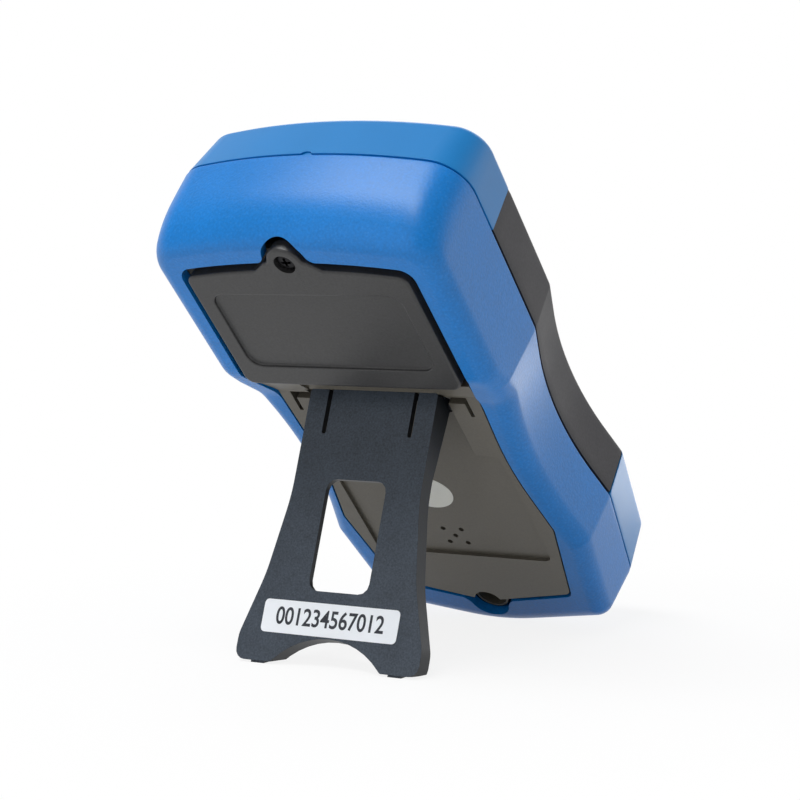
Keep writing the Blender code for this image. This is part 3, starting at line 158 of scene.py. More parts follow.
# Selector knob
KNOB_Y = -6.0
KNOB_STEM = ((0.0, 7.9), (3.2, 7.9), (3.2, 12.6), (6.0, 12.6))  # radius, level
KNOB_SKIRT = (  # radius, rise above the base
    (6.0, 0.0), (19.6, 0.0), (20.0, 0.3), (20.0, 0.9), (19.6, 1.5),
    (18.9, 2.0), (15.0, 2.7), (2.0, 2.9), (0.0, 2.9),
)
KNOB_POINTS = 480
KNOB_RIBS = (60, 0.25, 19.0)  # count, depth, radius where they start
KNOB_BAR = (10.4, 36.8, 5.0)  # width, length, corner radius
KNOB_BAR_EDGE = ((0.0, 1.5), (0.5, 5.5), (0.8, 7.3), (1.2, 8.0), (1.7, 8.35), (2.3, 8.5))  # inset, rise
KNOB_BAR_STEPS = 10
POINTER = (1.2, 11.0, 0.5)  # width, length, corner radius
POINTER_Y = 3.5
POINTER_T = 0.06

# Keys
KEY_XS = (-22.5, -7.5, 7.5, 22.5)
KEY_Y = 32.5
KEY = (10.8, 6.2, 3.0)  # width, height, corner radius
KEY_RISE = 1.4
KEY_STEM = ((-2.0, 10.4), (-2.0, 12.4), (0.9, 12.4), (0.9, 13.6), (0.0, 13.6))  # growth, level
KEY_CAP = (  # growth, rise above the edge of the crown
    (0.0, -0.7), (-0.06, -0.4), (-0.22, -0.2), (-0.5, -0.06), (-0.9, 0.0), (-1.6, 0.06), (-2.6, 0.1)
)

# Display and dial
LCD_Y = 59.5
LCD_DIGIT_XS = (-15.0, -5.0, 5.0, 15.0)
LCD_DIGIT_H = 14.0
LCD_DOT = (0.8, -10.0)  # radius, x
LCD_PRINT_Z = (13.61, 13.64)
DIGIT_WIDTH = 0.5
DIGIT_BAR = 0.09
DIGIT_SPAN = 0.94
UPRIGHT_SPAN = 0.47
BAR_SHAPE = np.array(((-0.5, 0.0), (-0.42, 0.5), (0.42, 0.5), (0.5, 0.0), (0.42, -0.5), (-0.42, -0.5)))
TICK_COUNT = 20
TICK_LENGTHS = (2.4, 1.6)
TICK_SHAPE = (0.5, 0.2)  # width, corner radius
TICK_R = 21.2
DIAL_PRINT_Z = (FACE_Z - 0.01, FACE_Z + 0.03)
DIAL_NUMBERS = ("2", "20", "200", "2", "20", "200", "2", "20", "200", "0")
NUMBER_SIZE = 3.2
NUMBER_REACH = (26.2, 25.4)  # across, along
PRINT_T = 0.02
PRINT_LIFT = 0.01

# Jacks
JACK_XS = (-24.75, -8.25, 8.25, 24.75)
JACK_Y = -54.5
JACK_POINTS = 64
JACK_COLLAR = (  # radius, level
    (2.25, 10.75), (2.25, 12.0), (2.4, 12.2), (3.0, 12.2),
    (3.15, 12.0), (3.3, 11.5), (5.05, 11.45), (5.05, 10.75),
)
JACK_RING = (5.9, 7.0)
JACK_PRINT_Z = (FACE_Z - 0.01, FACE_Z + 0.04)
COMMON_JACK = 3

# Corner lists: x, y, radius, steps of the arc, steps of the run to the next corner
CASE = (
    (0.0, 96.0, 210.0, 24, 4),
    (44.6, 88.2, 12.5, 14, 10),
    (44.228, 65.3, 0.0, 0, 1),
    (44.223, 65.0, 0.0, 0, 12),
    (43.8, 39.0, 0.0, 0, 6),
    (43.6, 29.7, 5.0, 8, 6),
    (35.2, -4.6, 110.0, 24, 6),
    (42.3, -38.8, 5.0, 8, 14),
    (37.3, -75.9, 7.0, 12, 6),
    (0.0, -83.3, 60.0, 14, 0),
)
OPENING = (
    (0.0, 81.8, 210.0, 24, 4),
    (35.8, 76.6, 4.5, 10, 20),
    (35.8, 35.5, 4.0, 6, 4),
    (32.2, 25.0, 6.0, 6, 6),
    (30.6, -4.6, 110.0, 20, 6),
    (34.9, -31.0, 4.0, 8, 12),
    (29.6, -61.5, 3.0, 8, 8),
    (0.0, -68.2, 12.0, 10, 0),
)
DOOR = (
    (0.0, 79.9, 210.0, 24, 4),
    (33.9, 74.7, 3.0, 10, 16),
    (33.9, DOOR_LOW_Y, 3.0, 10, 16),
    (0.0, DOOR_LOW_Y, 0.0, 0, 0),
)

# Limits of the outlines' arithmetic
NEARLY_STRAIGHT = 1e-3
LEAST_R = 0.05
RUN_SHARE = 0.98
TINY = 1e-9

# Mesh finish: welding gaps, angle within which faces are flat, bevel
WELD_GAP = 0.001
CARVE_GAP = 0.03
FLAT_WITHIN = 0.5
BEVEL_GAP = 0.15
BEVEL_STEPS = 3

# Finishes: usual span of a noise, faces that count as a side
NOISE_SPAN = (0.25, 0.75)
SIDE_TURN = (0.75, 0.95)

# Camera fitted to the photograph: focal length in pixels of the frame, turn and place in the back's axes
FOCAL_PX = 2287.6
FRAME_PX = 800.0
CAMERA_TURN = (0.82132, 0.52441, -0.19558)
CAMERA_SHIFT = (-0.414, 19.246, 631.613)
BACK_AXES = np.diag((-1.0, 1.0, -1.0))
SENSOR_MM = 36.0

# Studio, in metres; a lamp has a place, width, height, power and aim
FLOOR_REACH = 6.0
FLOOR_GLOW = 0.86
FLOOR_FADE = (0.09, 0.20)
FLOOR_BOUNCE = 0.85
FLOOR_SHADE = 0.9
SKY_LEVEL = 0.34
ROOM_AIM = (0.0, 0.6, 1.0)
ROOM_FALL = (0.1, 0.6)
ROOM_LEVEL = 0.35
LAMP_AIM = (0.0, 0.0, 0.07)
LAMPS = {
    "lamp_key": ((0.12, 0.32, 0.87), 0.7, 0.35, 6.0, LAMP_AIM),
    "lamp_fill": ((0.15, 1.0, 0.30), 0.8, 0.8, 1.8, LAMP_AIM),
    "lamp_side": ((-0.75, -0.6, 0.25), 0.6, 0.6, 0.9, LAMP_AIM),
    "lamp_low": ((-0.058, -0.27, 0.025), 0.10, 0.04, 0.038, (-0.04, -0.05, 0.04)),
    "lamp_front": ((0.3, -0.9, 0.6), 0.8, 0.8, 2.4, LAMP_AIM),
}

# Axes of the meter and of the open stand, from the joints
joints = {joint["name"]: joint for joint in frame["joints"]}
RIGHT = np.array((1.0, 0.0, 0.0))
OUT = np.array(joints["selector_turn"]["axis"], float)
UP = np.cross(OUT, RIGHT)
KNOB_SEAT = np.array(joints["selector_turn"]["pos_m"], float)
METER = (np.array((RIGHT, UP, OUT)), KNOB_SEAT - MM * (KNOB_Y * UP + FACE_Z * OUT))
STAND_UP = math.cos(OPEN_ANGLE) * UP + math.sin(OPEN_ANGLE) * OUT
STAND_OUT = math.cos(OPEN_ANGLE) * OUT - math.sin(OPEN_ANGLE) * UP
STAND = (np.array((RIGHT, STAND_UP, STAND_OUT)), np.array(joints["stand_hinge"]["pos_m"], float))


def placed(points, axes):
    """World place of points in millimetres: the axes' origin plus each coordinate along its axis."""
    return axes[1] + MM * (np.asarray(points, float) @ axes[0])


def half_outline(corners, inset=(0.0, 0.0, 0.0)):
    """Right half of an outline, top to bottom.

    Each run moves inwards by its inset (side, top, bottom), neighbouring runs meet again, and each corner
    gets an arc tangent to both runs, whose radius shrinks or grows by the inset.
    """
    places = np.array([corner[:2] for corner in corners])
    radii = np.array([corner[2] for corner in corners])
    runs = np.diff(places, axis=0)
    runs /= np.linalg.norm(runs, axis=1)[:, None]
    inward = np.stack((runs[:, 1], -runs[:, 0]), axis=1)
    moves = np.full(len(runs), float(inset[0]))
    moves[0], moves[-1] = inset[1], inset[2]
    levels = np.sum(inward * places[:-1], axis=1) + moves
    meets = [np.array((0.0, levels[0] / inward[0, 1]))]
    for i in range(1, len(runs)):
        pair = inward[i - 1:i + 1]
        if abs(np.linalg.det(pair)) < NEARLY_STRAIGHT:
            meets.append(places[i] + inward[i] * moves[i])
        else:
            meets.append(np.linalg.solve(pair, levels[i - 1:i + 1]))
    meets.append(np.array((0.0, levels[-1] / inward[-1, 1])))
    meets = np.array(meets)

    before = np.vstack((runs[:1] * (1, -1), runs))
    after = np.vstack((runs, runs[-1:] * (1, -1)))
    crosses = before[:, 0] * after[:, 1] - before[:, 1] * after[:, 0]
    turns = np.arctan2(crosses, np.sum(before * after, axis=1))
    nearby = 0.5 * (np.append(moves[0], moves) + np.append(moves, moves[-1]))
    radii = np.where(radii > 0, np.maximum(radii + np.sign(turns) * nearby, LEAST_R), 0.0)
    reach = radii * np.tan(np.abs(turns) / 2)
    lengths = np.linalg.norm(np.diff(meets, axis=0), axis=1)
    fits = np.minimum(1.0, RUN_SHARE * lengths / np.maximum(reach[:-1] + reach[1:], TINY))
    shrink = np.minimum(np.append(fits, 1.0), np.append(1.0, fits))
    radii, reach = radii * shrink, reach * shrink

    pieces = []
    for i, corner in enumerate(corners):
        steps = corner[3]
        start = meets[i] - reach[i] * before[i]
        side = math.copysign(1.0, turns[i]) * np.array((-before[i, 1], before[i, 0]))
        shares = np.linspace(0.0, 1.0, steps + 1)
        if i == 0:
            shares = 0.5 + 0.5 * shares
        elif i == len(corners) - 1:
            shares = 0.5 * shares
        angles = np.abs(turns[i]) * shares
        arc = start + radii[i] * (np.sin(angles)[:, None] * before[i] + (1 - np.cos(angles))[:, None] * side)
        if pieces:
            between = np.linspace(0.0, 1.0, corners[i - 1][4] + 1)[1:-1, None]
            pieces.append(pieces[-1][-1] + between * (arc[0] - pieces[-1][-1]))
        pieces.append(arc)
    return np.vstack(pieces)


def mirrored(half):
    """Closed loop: the right half from the top down, and its mirror image back up."""
    return np.vstack((half, (half * (-1, 1))[-2:0:-1]))


def outline(corners, inset=(0.0, 0.0, 0.0)):
    """Closed outline, clockwise from the top."""
    return mirrored(half_outline(corners, inset))


def rounded_box(width, height, radius, centre=(0.0, 0.0), steps=8):
    """Rounded rectangle: four quarter circles round the corners' centres."""
    angles = np.linspace(0.0, np.pi / 2, steps + 1)
    turns = (np.arange(4) * np.pi / 2)[:, None] + angles
    corner = np.array(((1, 1), (-1, 1), (-1, -1), (1, -1)))[:, None, :]
    core = np.array((width / 2 - radius, height / 2 - radius))
    points = corner * core + radius * np.stack((np.cos(turns), np.sin(turns)), axis=-1)
    return points.reshape(-1, 2) + np.asarray(centre)


def circle(radius, centre=(0.0, 0.0), count=48):
    """Points at equal angles round a centre."""
    angles = np.arange(count) * 2 * np.pi / count
    return np.asarray(centre) + np.stack((radius * np.cos(angles), radius * np.sin(angles)), axis=1)


def at(loop, z):
    """Loop of the plane lifted to z, one level or one value for each point."""
    return np.column_stack((loop, np.broadcast_to(z, len(loop))))


def numbered(grid):
    """Numbers of a grid's points, in its rows and columns."""
    return np.arange(grid.shape[0] * grid.shape[1]).reshape(grid.shape[:2])


def bands(low, high):
    """Quads between rows of point numbers, closed round each row."""
    return np.stack((low, np.roll(low, -1, 1), np.roll(high, -1, 1), high), axis=-1)


def skin(rows):
    """Quads between neighbouring rows of points, closed round each row, with flat lids on both ends."""
    rows = np.asarray(rows, float)
    index = numbered(rows)
    quads = bands(index[:-1], index[1:]).reshape(-1, 4)
    return rows.reshape(-1, 3), [*quads.tolist(), index[0, ::-1].tolist(), index[-1].tolist()]


def ring(rows):
    """Quads between neighbouring rows, closed round each row and from the last row to the first."""
    rows = np.asarray(rows, float)
    index = numbered(rows)
    return rows.reshape(-1, 3), bands(index, np.roll(index, -1, 0)).reshape(-1, 4).tolist()


def patch(grid):
    """Quads of an open grid of points."""
    index = numbered(grid)
    quads = np.stack((index[:-1, :-1], index[:-1, 1:], index[1:, 1:], index[1:, :-1]), axis=-1)
    return grid.reshape(-1, 3), quads.reshape(-1, 4).tolist()


def prism(loop, low, high):
    """Loop carried straight from low to high."""
    return skin([at(loop, low), at(loop, high)])


def shown(name, data):
    """Object of this data, in the scene."""
    obj = bpy.data.objects.new(name, data)
    bpy.context.scene.collection.objects.link(obj)
    return obj


def body_of(name, surfaces, axes=METER):
    """Mesh object from surfaces in one set of axes, welded where they meet and turned outwards."""
    points, faces, start = [], [], 0
    for part_points, part_faces in surfaces:
        points.append(placed(part_points, axes))
        faces += [[i + start for i in face] for face in part_faces]
        start += len(part_points)
    mesh = bpy.data.meshes.new(name)
    mesh.from_pydata(np.vstack(points).tolist(), [], faces)
    weld(mesh)
    return shown(name, mesh)


def weld(mesh, flat_within=None, outward=True, gap=WELD_GAP):
    """Merges points closer than a gap, joins faces flat within an angle, and turns faces outwards."""
    bm = bmesh.new()
    bm.from_mesh(mesh)
    bmesh.ops.remove_doubles(bm, verts=bm.verts, dist=gap * MM)
    bmesh.ops.dissolve_degenerate(bm, edges=bm.edges, dist=0.1 * gap * MM)
    if flat_within:
        bmesh.ops.dissolve_limit(
            bm, angle_limit=math.radians(flat_within), verts=bm.verts, edges=bm.edges, delimit=set()
        )
    if outward:
        bmesh.ops.recalc_face_normals(bm, faces=bm.faces)
    bm.to_mesh(mesh)
    bm.free()


def carved(target, tools, operation="DIFFERENCE"):
    """Gives the target the mesh of its Booleans with the tools, which are then removed."""
    for tool in tools:
        modifier = target.modifiers.new("carve", "BOOLEAN")
        modifier.operation = operation
        modifier.solver = "EXACT"
        modifier.object = tool
    graph = bpy.context.evaluated_depsgraph_get()
    mesh = bpy.data.meshes.new_from_object(target.evaluated_get(graph))
    weld(mesh, outward=False, gap=CARVE_GAP)
    target.modifiers.clear()
    target.data = mesh
    for tool in tools:
        bpy.data.objects.remove(tool)


def softened(name, node):
    """Copy of a CAD node's mesh, its triangles merged into flat faces, ready for a bevel."""
    mesh = frame["nodes"][node].data.copy()
    mesh.name = name
    mesh.materials.clear()
    weld(mesh, flat_within=FLAT_WITHIN, outward=False)
    return shown(name, mesh)


def finished(obj, body, material, covers=(), edge=None, crease=40.0):
    """Smooth shading, a bevel of width edge where faces turn by more than crease, a material and a body."""
    mesh = obj.data
    mesh.materials.clear()
    mesh.materials.append(material)
    mesh.shade_smooth()
    if edge:
        weld(mesh, outward=False, gap=BEVEL_GAP * edge)
        bevel = obj.modifiers.new("soft_edges", "BEVEL")
        bevel.width = edge * MM
        bevel.segments = BEVEL_STEPS
        bevel.limit_method = "ANGLE"
        bevel.angle_limit = math.radians(crease)
        bevel.miter_outer = "MITER_ARC"
    else:
        mesh.set_sharp_from_angle(angle=math.radians(crease))
    even = obj.modifiers.new("even_shading", "WEIGHTED_NORMAL")
    even.keep_sharp = True
    if covers:
        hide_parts(*covers)
    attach(obj, body)


def srgb(red, green, blue):
    """Linear colour of an 8-bit screen colour."""
    values = np.array((red, green, blue)) / 255.0
    linear = np.where(values <= 0.04045, values / 12.92, ((values + 0.055) / 1.055) ** 2.4)
    return (*linear.tolist(), 1.0)


def joined(tree, kind, inputs=None, **settings):
    """New node with settings; an input, by name or number, gets a value or another node's output."""
    node = tree.nodes.new(kind)
    for name, value in settings.items():
        setattr(node, name, value)
    for key, value in (inputs or {}).items():
        if isinstance(value, bpy.types.NodeSocket):
            tree.links.new(value, node.inputs[key])
        else:
            node.inputs[key].default_value = value
    return node


def computed(tree, operation, *values):
    """Output of a Math node."""
    return joined(tree, "ShaderNodeMath", dict(enumerate(values)), operation=operation).outputs[0]


def ranged(tree, value, start=(0.0, 1.0), end=(0.0, 1.0), interpolation="LINEAR"):
    """Value carried from the start range to the end range."""
    inputs = {"Value": value, "From Min": start[0], "From Max": start[1], "To Min": end[0], "To Max": end[1]}
    return joined(tree, "ShaderNodeMapRange", inputs, interpolation_type=interpolation).outputs["Result"]


def blended(tree, share, first, second):
    """Mix of two colours by a share."""
    return joined(tree, "ShaderNodeMix", {0: share, 6: first, 7: second}, data_type="RGBA").outputs[2]


def grain_group():
    """Node group of a moulded skin: fine grain height, slow clouds of tone, and small flecks."""
    tree = bpy.data.node_groups.new("moulded_grain", "ShaderNodeTree")
    for name, kind in {"Place": "Vector", "Grain": "Float", "Cloud": "Float"}.items():
        tree.interface.new_socket(name, in_out="INPUT", socket_type=f"NodeSocket{kind}")
    for name in ("Height", "Clouds", "Flecks"):
        tree.interface.new_socket(name, in_out="OUTPUT", socket_type="NodeSocketFloat")
    start = joined(tree, "NodeGroupInput").outputs

    def texture(kind, size, factor=1.0, **values):
        scale = computed(tree, "DIVIDE", factor / MM, start[size])
        return joined(tree, kind, {"Vector": start["Place"], "Scale": scale, **values}).outputs

    height = texture("ShaderNodeTexNoise", "Grain", Detail=2.0)["Fac"]
    clouds = texture("ShaderNodeTexNoise", "Cloud", Detail=3.0)["Fac"]
    dots = texture("ShaderNodeTexVoronoi", "Grain", factor=0.6)["Distance"]
    flecks = ranged(tree, dots, start=(0.34, 0.12))
    joined(tree, "NodeGroupOutput", {"Height": height, "Clouds": clouds, "Flecks": flecks})
    return tree


GRAIN = grain_group()


def moulded(name, colour, rough, grain, depth, strength, cloud, tone, spread, fleck=0.0, fleck_colour=None,
            metallic=0.0, specular=0.5, mottle=0.6, shaded_polished_sides=None):
    """Moulded finish: colour varied by clouds, grain and flecks, roughness by clouds, bump from the grain.

    With sides to shade (axis, tone, rough), faces turned away from the axis are polished and get a painted
    shade: their colour is the base darkened by the tone.
    """
    material = bpy.data.materials.new(name)
    material.use_nodes = True
    tree = material.node_tree
    link = tree.links.new
    shader = tree.nodes["Principled BSDF"]
    shader.inputs["Metallic"].default_value = metallic
    shader.inputs["Specular IOR Level"].default_value = specular
    place = joined(tree, "ShaderNodeTexCoord").outputs
    sizes = {"Grain": grain, "Cloud": cloud, "Place": place["Object"]}
    surface = joined(tree, "ShaderNodeGroup", sizes, node_tree=GRAIN).outputs

    base = np.array(srgb(*colour)[:3])
    mixed = computed(tree, "MULTIPLY_ADD", surface["Height"], mottle, surface["Clouds"])
    share = ranged(tree, mixed, start=[end * (1 + mottle) for end in NOISE_SPAN])
    light = np.minimum(base * (1 + tone), 1.0)
    result = blended(tree, share, (*(base * (1 - tone)), 1.0), (*light, 1.0))
    if fleck:
        amount = computed(tree, "MULTIPLY", surface["Flecks"], fleck)
        result = blended(tree, amount, result, srgb(*fleck_colour))
    polish = ranged(tree, surface["Clouds"], end=(rough - spread, rough + spread))
    if shaded_polished_sides:
        axis, side_painted_shade, side_rough = shaded_polished_sides
        facing = joined(tree, "ShaderNodeVectorMath", {0: place["Normal"], 1: axis}, operation="DOT_PRODUCT")
        side = ranged(tree, computed(tree, "ABSOLUTE", facing.outputs["Value"]), start=SIDE_TURN)
        # painted shade: faces turned away from the axis take the base colour darkened by the side's tone
        result = blended(tree, side, (*(base * side_painted_shade), 1.0), result)
        polish = joined(tree, "ShaderNodeMix", {0: side, 2: side_rough, 3: polish}).outputs[0]
    link(result, shader.inputs["Base Color"])
    link(polish, shader.inputs["Roughness"])
    relief = {"Strength": strength, "Distance": depth * MM, "Height": surface["Height"]}
    link(joined(tree, "ShaderNodeBump", relief).outputs["Normal"], shader.inputs["Normal"])
    return material


# Finishes: colour, roughness, grain size, bump depth and strength, cloud size, spreads of tone and roughness
blue_rear = moulded("blue_rear_skin", (6, 116, 195), 0.36, 0.7, 0.08, 0.7, 14.0, 0.16, 0.04,
                    fleck=0.06, fleck_colour=(120, 180, 235), specular=0.38, mottle=2.0)
blue_front = moulded("blue_front_skin", (4, 117, 185), 0.38, 0.5, 0.012, 0.25, 18.0, 0.06, 0.04,
                     specular=0.42)
grip_black = moulded("grip_rubber_skin", (46, 45, 49), 0.6, 0.7, 0.03, 0.4, 12.0, 0.35, 0.08,
                     specular=0.4, mottle=2.0)
door_black = moulded("door_plastic", (42, 42, 43), 0.38, 0.6, 0.03, 0.4, 10.0, 0.40, 0.06, mottle=2.0)
panel_black = moulded("panel_plastic", (88, 84, 75), 0.45, 0.6, 0.02, 0.35, 10.0, 0.14, 0.06, mottle=1.5)
# the stand's sides get a painted shade, their colour darkened to 0.15 of the base, and a smoother polish
stand_black = moulded("stand_plastic", (60, 68, 78), 0.46, 0.5, 0.05, 0.5, 8.0, 0.45, 0.07,
                      specular=0.35, mottle=2.5, shaded_polished_sides=(STAND_OUT.tolist(), 0.15, 0.45))
face_grey = moulded("face_plastic", (58, 60, 63), 0.55, 0.3, 0.02, 0.4, 12.0, 0.08, 0.06)
knob_black = moulded("knob_plastic", (40, 42, 45), 0.5, 0.3, 0.02, 0.35, 10.0, 0.10, 0.06)
key_rubber = moulded("key_rubber_skin", (165, 168, 172), 0.62, 0.3, 0.015, 0.3, 6.0, 0.05, 0.05)
print_white = moulded("printed_white", (225, 226, 224), 0.55, 0.2, 0.004, 0.2, 4.0, 0.05, 0.06)
print_red = moulded("printed_red", (178, 44, 38), 0.5, 0.2, 0.004, 0.2, 4.0, 0.06, 0.06)
print_dark = moulded("printed_dark", (40, 43, 52), 0.55, 0.2, 0.004, 0.2, 4.0, 0.08, 0.06)
label_paper = moulded("label_film", (236, 240, 245), 0.42, 0.5, 0.006, 0.2, 8.0, 0.02, 0.05)
sticker_paper = moulded("sticker_paper", (238, 238, 230), 0.6, 0.35, 0.01, 0.3, 5.0, 0.03, 0.05)
# screw steel far darker than bare steel: painted shade of the deep holes the screw heads sit in
shaded_screw_steel = moulded("shaded_screw_steel", (42, 42, 44), 0.42, 0.3, 0.01, 0.3, 3.0, 0.15, 0.10, metallic=1.0)
spring_steel = moulded("spring_steel", (160, 160, 164), 0.3, 0.3, 0.005, 0.3, 3.0, 0.10, 0.08, metallic=1.0)
jack_brass = moulded("jack_brass", (200, 164, 92), 0.3, 0.3, 0.006, 0.3, 4.0, 0.12, 0.08, metallic=1.0)
board_green = moulded("board_resist", (24, 92, 58), 0.38, 0.6, 0.02, 0.4, 5.0, 0.14, 0.06)
white_plastic = moulded("white_plastic", (222, 222, 216), 0.5, 0.3, 0.01, 0.3, 8.0, 0.03, 0.05)
elastomer_pink = moulded("elastomer", (205, 130, 150), 0.6, 0.25, 0.02, 0.4, 2.0, 0.12, 0.05)
fuse_ceramic = moulded("fuse_ceramic", (214, 210, 200), 0.35, 0.4, 0.008, 0.3, 5.0, 0.04, 0.05)
battery_wrap = moulded("battery_wrap", (44, 46, 52), 0.32, 0.5, 0.006, 0.2, 12.0, 0.08, 0.05)
lcd_green = moulded("lcd_glass_green", (158, 170, 148), 0.2, 0.4, 0.004, 0.2, 12.0, 0.03, 0.04)
lcd_ink = moulded("lcd_segments", (38, 44, 40), 0.35, 0.2, 0.002, 0.2, 3.0, 0.08, 0.05)


def window_glass():
    """Clear moulded window: a transmitting shader with faint clouds in its polish."""
    material = bpy.data.materials.new("window_clear_plastic")
    material.use_nodes = True
    tree = material.node_tree
    shader = tree.nodes["Principled BSDF"]
    shader.inputs["Base Color"].default_value = (0.92, 0.95, 0.94, 1.0)
    shader.inputs["Transmission Weight"].default_value = 1.0
    shader.inputs["IOR"].default_value = 1.46
    place = joined(tree, "ShaderNodeTexCoord").outputs["Object"]
    sizes = {"Grain": 0.6, "Cloud": 14.0, "Place": place}
    surface = joined(tree, "ShaderNodeGroup", sizes, node_tree=GRAIN).outputs
    polish = ranged(tree, surface["Clouds"], end=(0.01, 0.06))
    tree.links.new(polish, shader.inputs["Roughness"])
    return material


window_clear = window_glass()


def back_z(y):
    """Level of the back rim: deep at the head, a slope below the door, then shallow, with averaged bends."""
    shifts = np.linspace(-BEND_SOFTNESS, BEND_SOFTNESS, BEND_STEPS)
    shares = np.clip((y[..., None] + shifts - SLOPE_Y[0]) / (SLOPE_Y[1] - SLOPE_Y[0]), 0.0, 1.0)
    return -(LOW_DEPTH + (HEAD_DEPTH - LOW_DEPTH) * shares.mean(axis=-1))


def above_back(loop, height=0.0):
    """Loop lifted to a height above the back rim."""
    return at(loop, back_z(loop[:, 1]) + height)


def edge_inset(radius, height):
    """How far a quarter-round edge has drawn in at this height below its crown."""
    return radius - math.sqrt(max(radius**2 - max(radius - height, 0.0) ** 2, 0.0))


def back_row(height):
    """Outline of the rear half at a height above its back: drafted wall plus quarter-round edge."""
    rise = LOW_DEPTH - height
    side = SIDE_DRAFT * rise + edge_inset(SIDE_EDGE_R, height)
    top = BACK_DRAFT * rise + edge_inset(BACK_EDGE_R, height)
    low = BACK_DRAFT * rise + edge_inset(BOTTOM_EDGE_R, height)
    return above_back(outline(CASE, (side, top, low)), height)


def crown_inset(height):
    """How far the top draws in beyond the quarter round: a taller quarter ellipse, less half a sine wave."""
    reach = max(CROWN_SOFT - height, 0.0) / CROWN_SOFT
    soft = BACK_EDGE_R * (1 - math.sqrt(1 - reach**2))
    return soft - edge_inset(BACK_EDGE_R, height) - CROWN_BULGE * math.sin(math.pi * height / HEAD_DEPTH)


def bay_outline(middle_y, radius, flare, edge_y, rise, steps=12):
    """Round bay at a screw: a circle flared by two arcs into the opening's edge, which rises by an angle."""
    outward = math.copysign(1.0, middle_y)
    along = np.array((math.cos(rise), math.sin(rise)))
    beyond = outward * np.array((-along[1], along[0]))
    edge = np.array((0.0, edge_y - outward * FIT))
    middle = np.array((0.0, middle_y))
    start = edge + flare * beyond - middle
    run = -start @ along + math.sqrt((start @ along) ** 2 + (radius + flare) ** 2 - start @ start)
    centre = edge + flare * beyond + run * along
    meet = (centre - middle) / np.linalg.norm(centre - middle)

    def arc(pivot, spoke, last):
        turn = math.atan2(spoke[0] * last[1] - spoke[1] * last[0], spoke @ last)
        angles = np.linspace(0.0, turn, steps)[:, None]
        return pivot + np.cos(angles) * spoke + np.sin(angles) * np.array((-spoke[1], spoke[0]))

    right = np.vstack((
        edge + run * along - BAY_OVERLAP * beyond,
        arc(centre, -flare * beyond, -flare * meet),
        arc(middle, radius * meet, np.array((0.0, outward * radius))),
    ))
    return np.vstack((right, (right * (-1, 1))[-2::-1]))


def rear_shell():
    """Rear half: rows of the outline from the parting edge over wall and rounded edge, and back inside."""
    edge = outline(CASE)
    rows = [at(outline(CASE, (inset,) * 3), z) for inset, z in TONGUE]
    brow = at(edge, rows[-1][0, 2])
    wall_foot = back_row(BOTTOM_EDGE_R)
    wall = [brow + share * (wall_foot - brow) for share in np.linspace(0.0, 1.0, BACK_ROWS)[1:]]
    levels = [(BOTTOM_EDGE_R + BACK_EDGE_R) / 2, BACK_EDGE_R]
    levels += [BACK_EDGE_R * (1 - math.sin(a)) for a in np.linspace(0.0, math.pi / 2, BACK_ROWS)[1:]]
    heights = [*np.linspace(HEAD_DEPTH, BOTTOM_EDGE_R, BACK_ROWS)[1:], *levels]
    for height, row in zip(heights, wall + [back_row(level) for level in levels]):
        lift = outline(CASE, (0.0, crown_inset(height), 0.0)) - edge
        rows.append(row + at(lift, 0.0))
    flats = [outline(CASE, [inset + step for inset in BACK_FLAT]) for step in BACK_FLAT_STEPS]
    rows += [above_back(loop) for loop in flats]
    inside = [at(outline(CASE, (WALL,) * 3), SHELF_Z)]
    for draw, height in BACK_INSIDE:
        inset = WALL + BACK_DRAFT * (LOW_DEPTH - height) + draw
        inside.append(above_back(outline(CASE, (inset,) * 3), height))
    inside += [above_back(loop, WALL) for loop in flats[1:]]
    shell = body_of("rear_shell_skin", [ring([*rows, *inside[::-1]])])
    cuts = {
        "tool_opening": outline(OPENING),
        "tool_top_bay": bay_outline(*TOP_BAY),
        "tool_low_bay": bay_outline(*LOW_BAY),
    }
    carved(shell, [body_of(name, [prism(loop, *OPENING_CUT)]) for name, loop in cuts.items()])
    finished(shell, "case", blue_rear, ["rear_shell"], edge=0.3, crease=55.0)


def front_inset(z, depth=0.0):
    """Inset of the front half at a level: side and end drafts plus the quarter round of the front edge."""
    edge = edge_inset(FRONT_EDGE_R, max(FRONT_DEPTH - z, 0.0))
    side, end = (depth + draft * z + edge for draft in FRONT_DRAFTS)
    return (side, end, end)


def front_rows(depth=0.0):
    """Rows of the front half, sunk by a depth: parting edge, wall, quarter round, and part of the rim."""
    gap_rise, foot = FRONT_FOOT
    levels = [PARTING_GAP + gap_rise, *np.linspace(foot, FRONT_DEPTH - FRONT_EDGE_R, FRONT_ROWS)]
    turns = np.linspace(0.0, math.pi / 2, FRONT_ROWS)[1:]
    levels += [FRONT_DEPTH - FRONT_EDGE_R * (1 - math.sin(turn)) for turn in turns]
    rows = [at(outline(CASE, (inset + depth,) * 3), PARTING_GAP + rise) for inset, rise in FRONT_BROW]
    for z in levels:
        fall = depth if z > FRONT_DEPTH - FRONT_CAP else 0.0
        rows.append(at(outline(CASE, front_inset(z, depth)), z - fall))
    last = np.array(front_inset(FRONT_DEPTH))
    for share in (0.5, 1.0):
        inset = last + share * np.maximum(GRIP_WRAP - last, 0.0)
        rows.append(at(outline(CASE, inset), FRONT_DEPTH - depth))
    return np.array(rows)


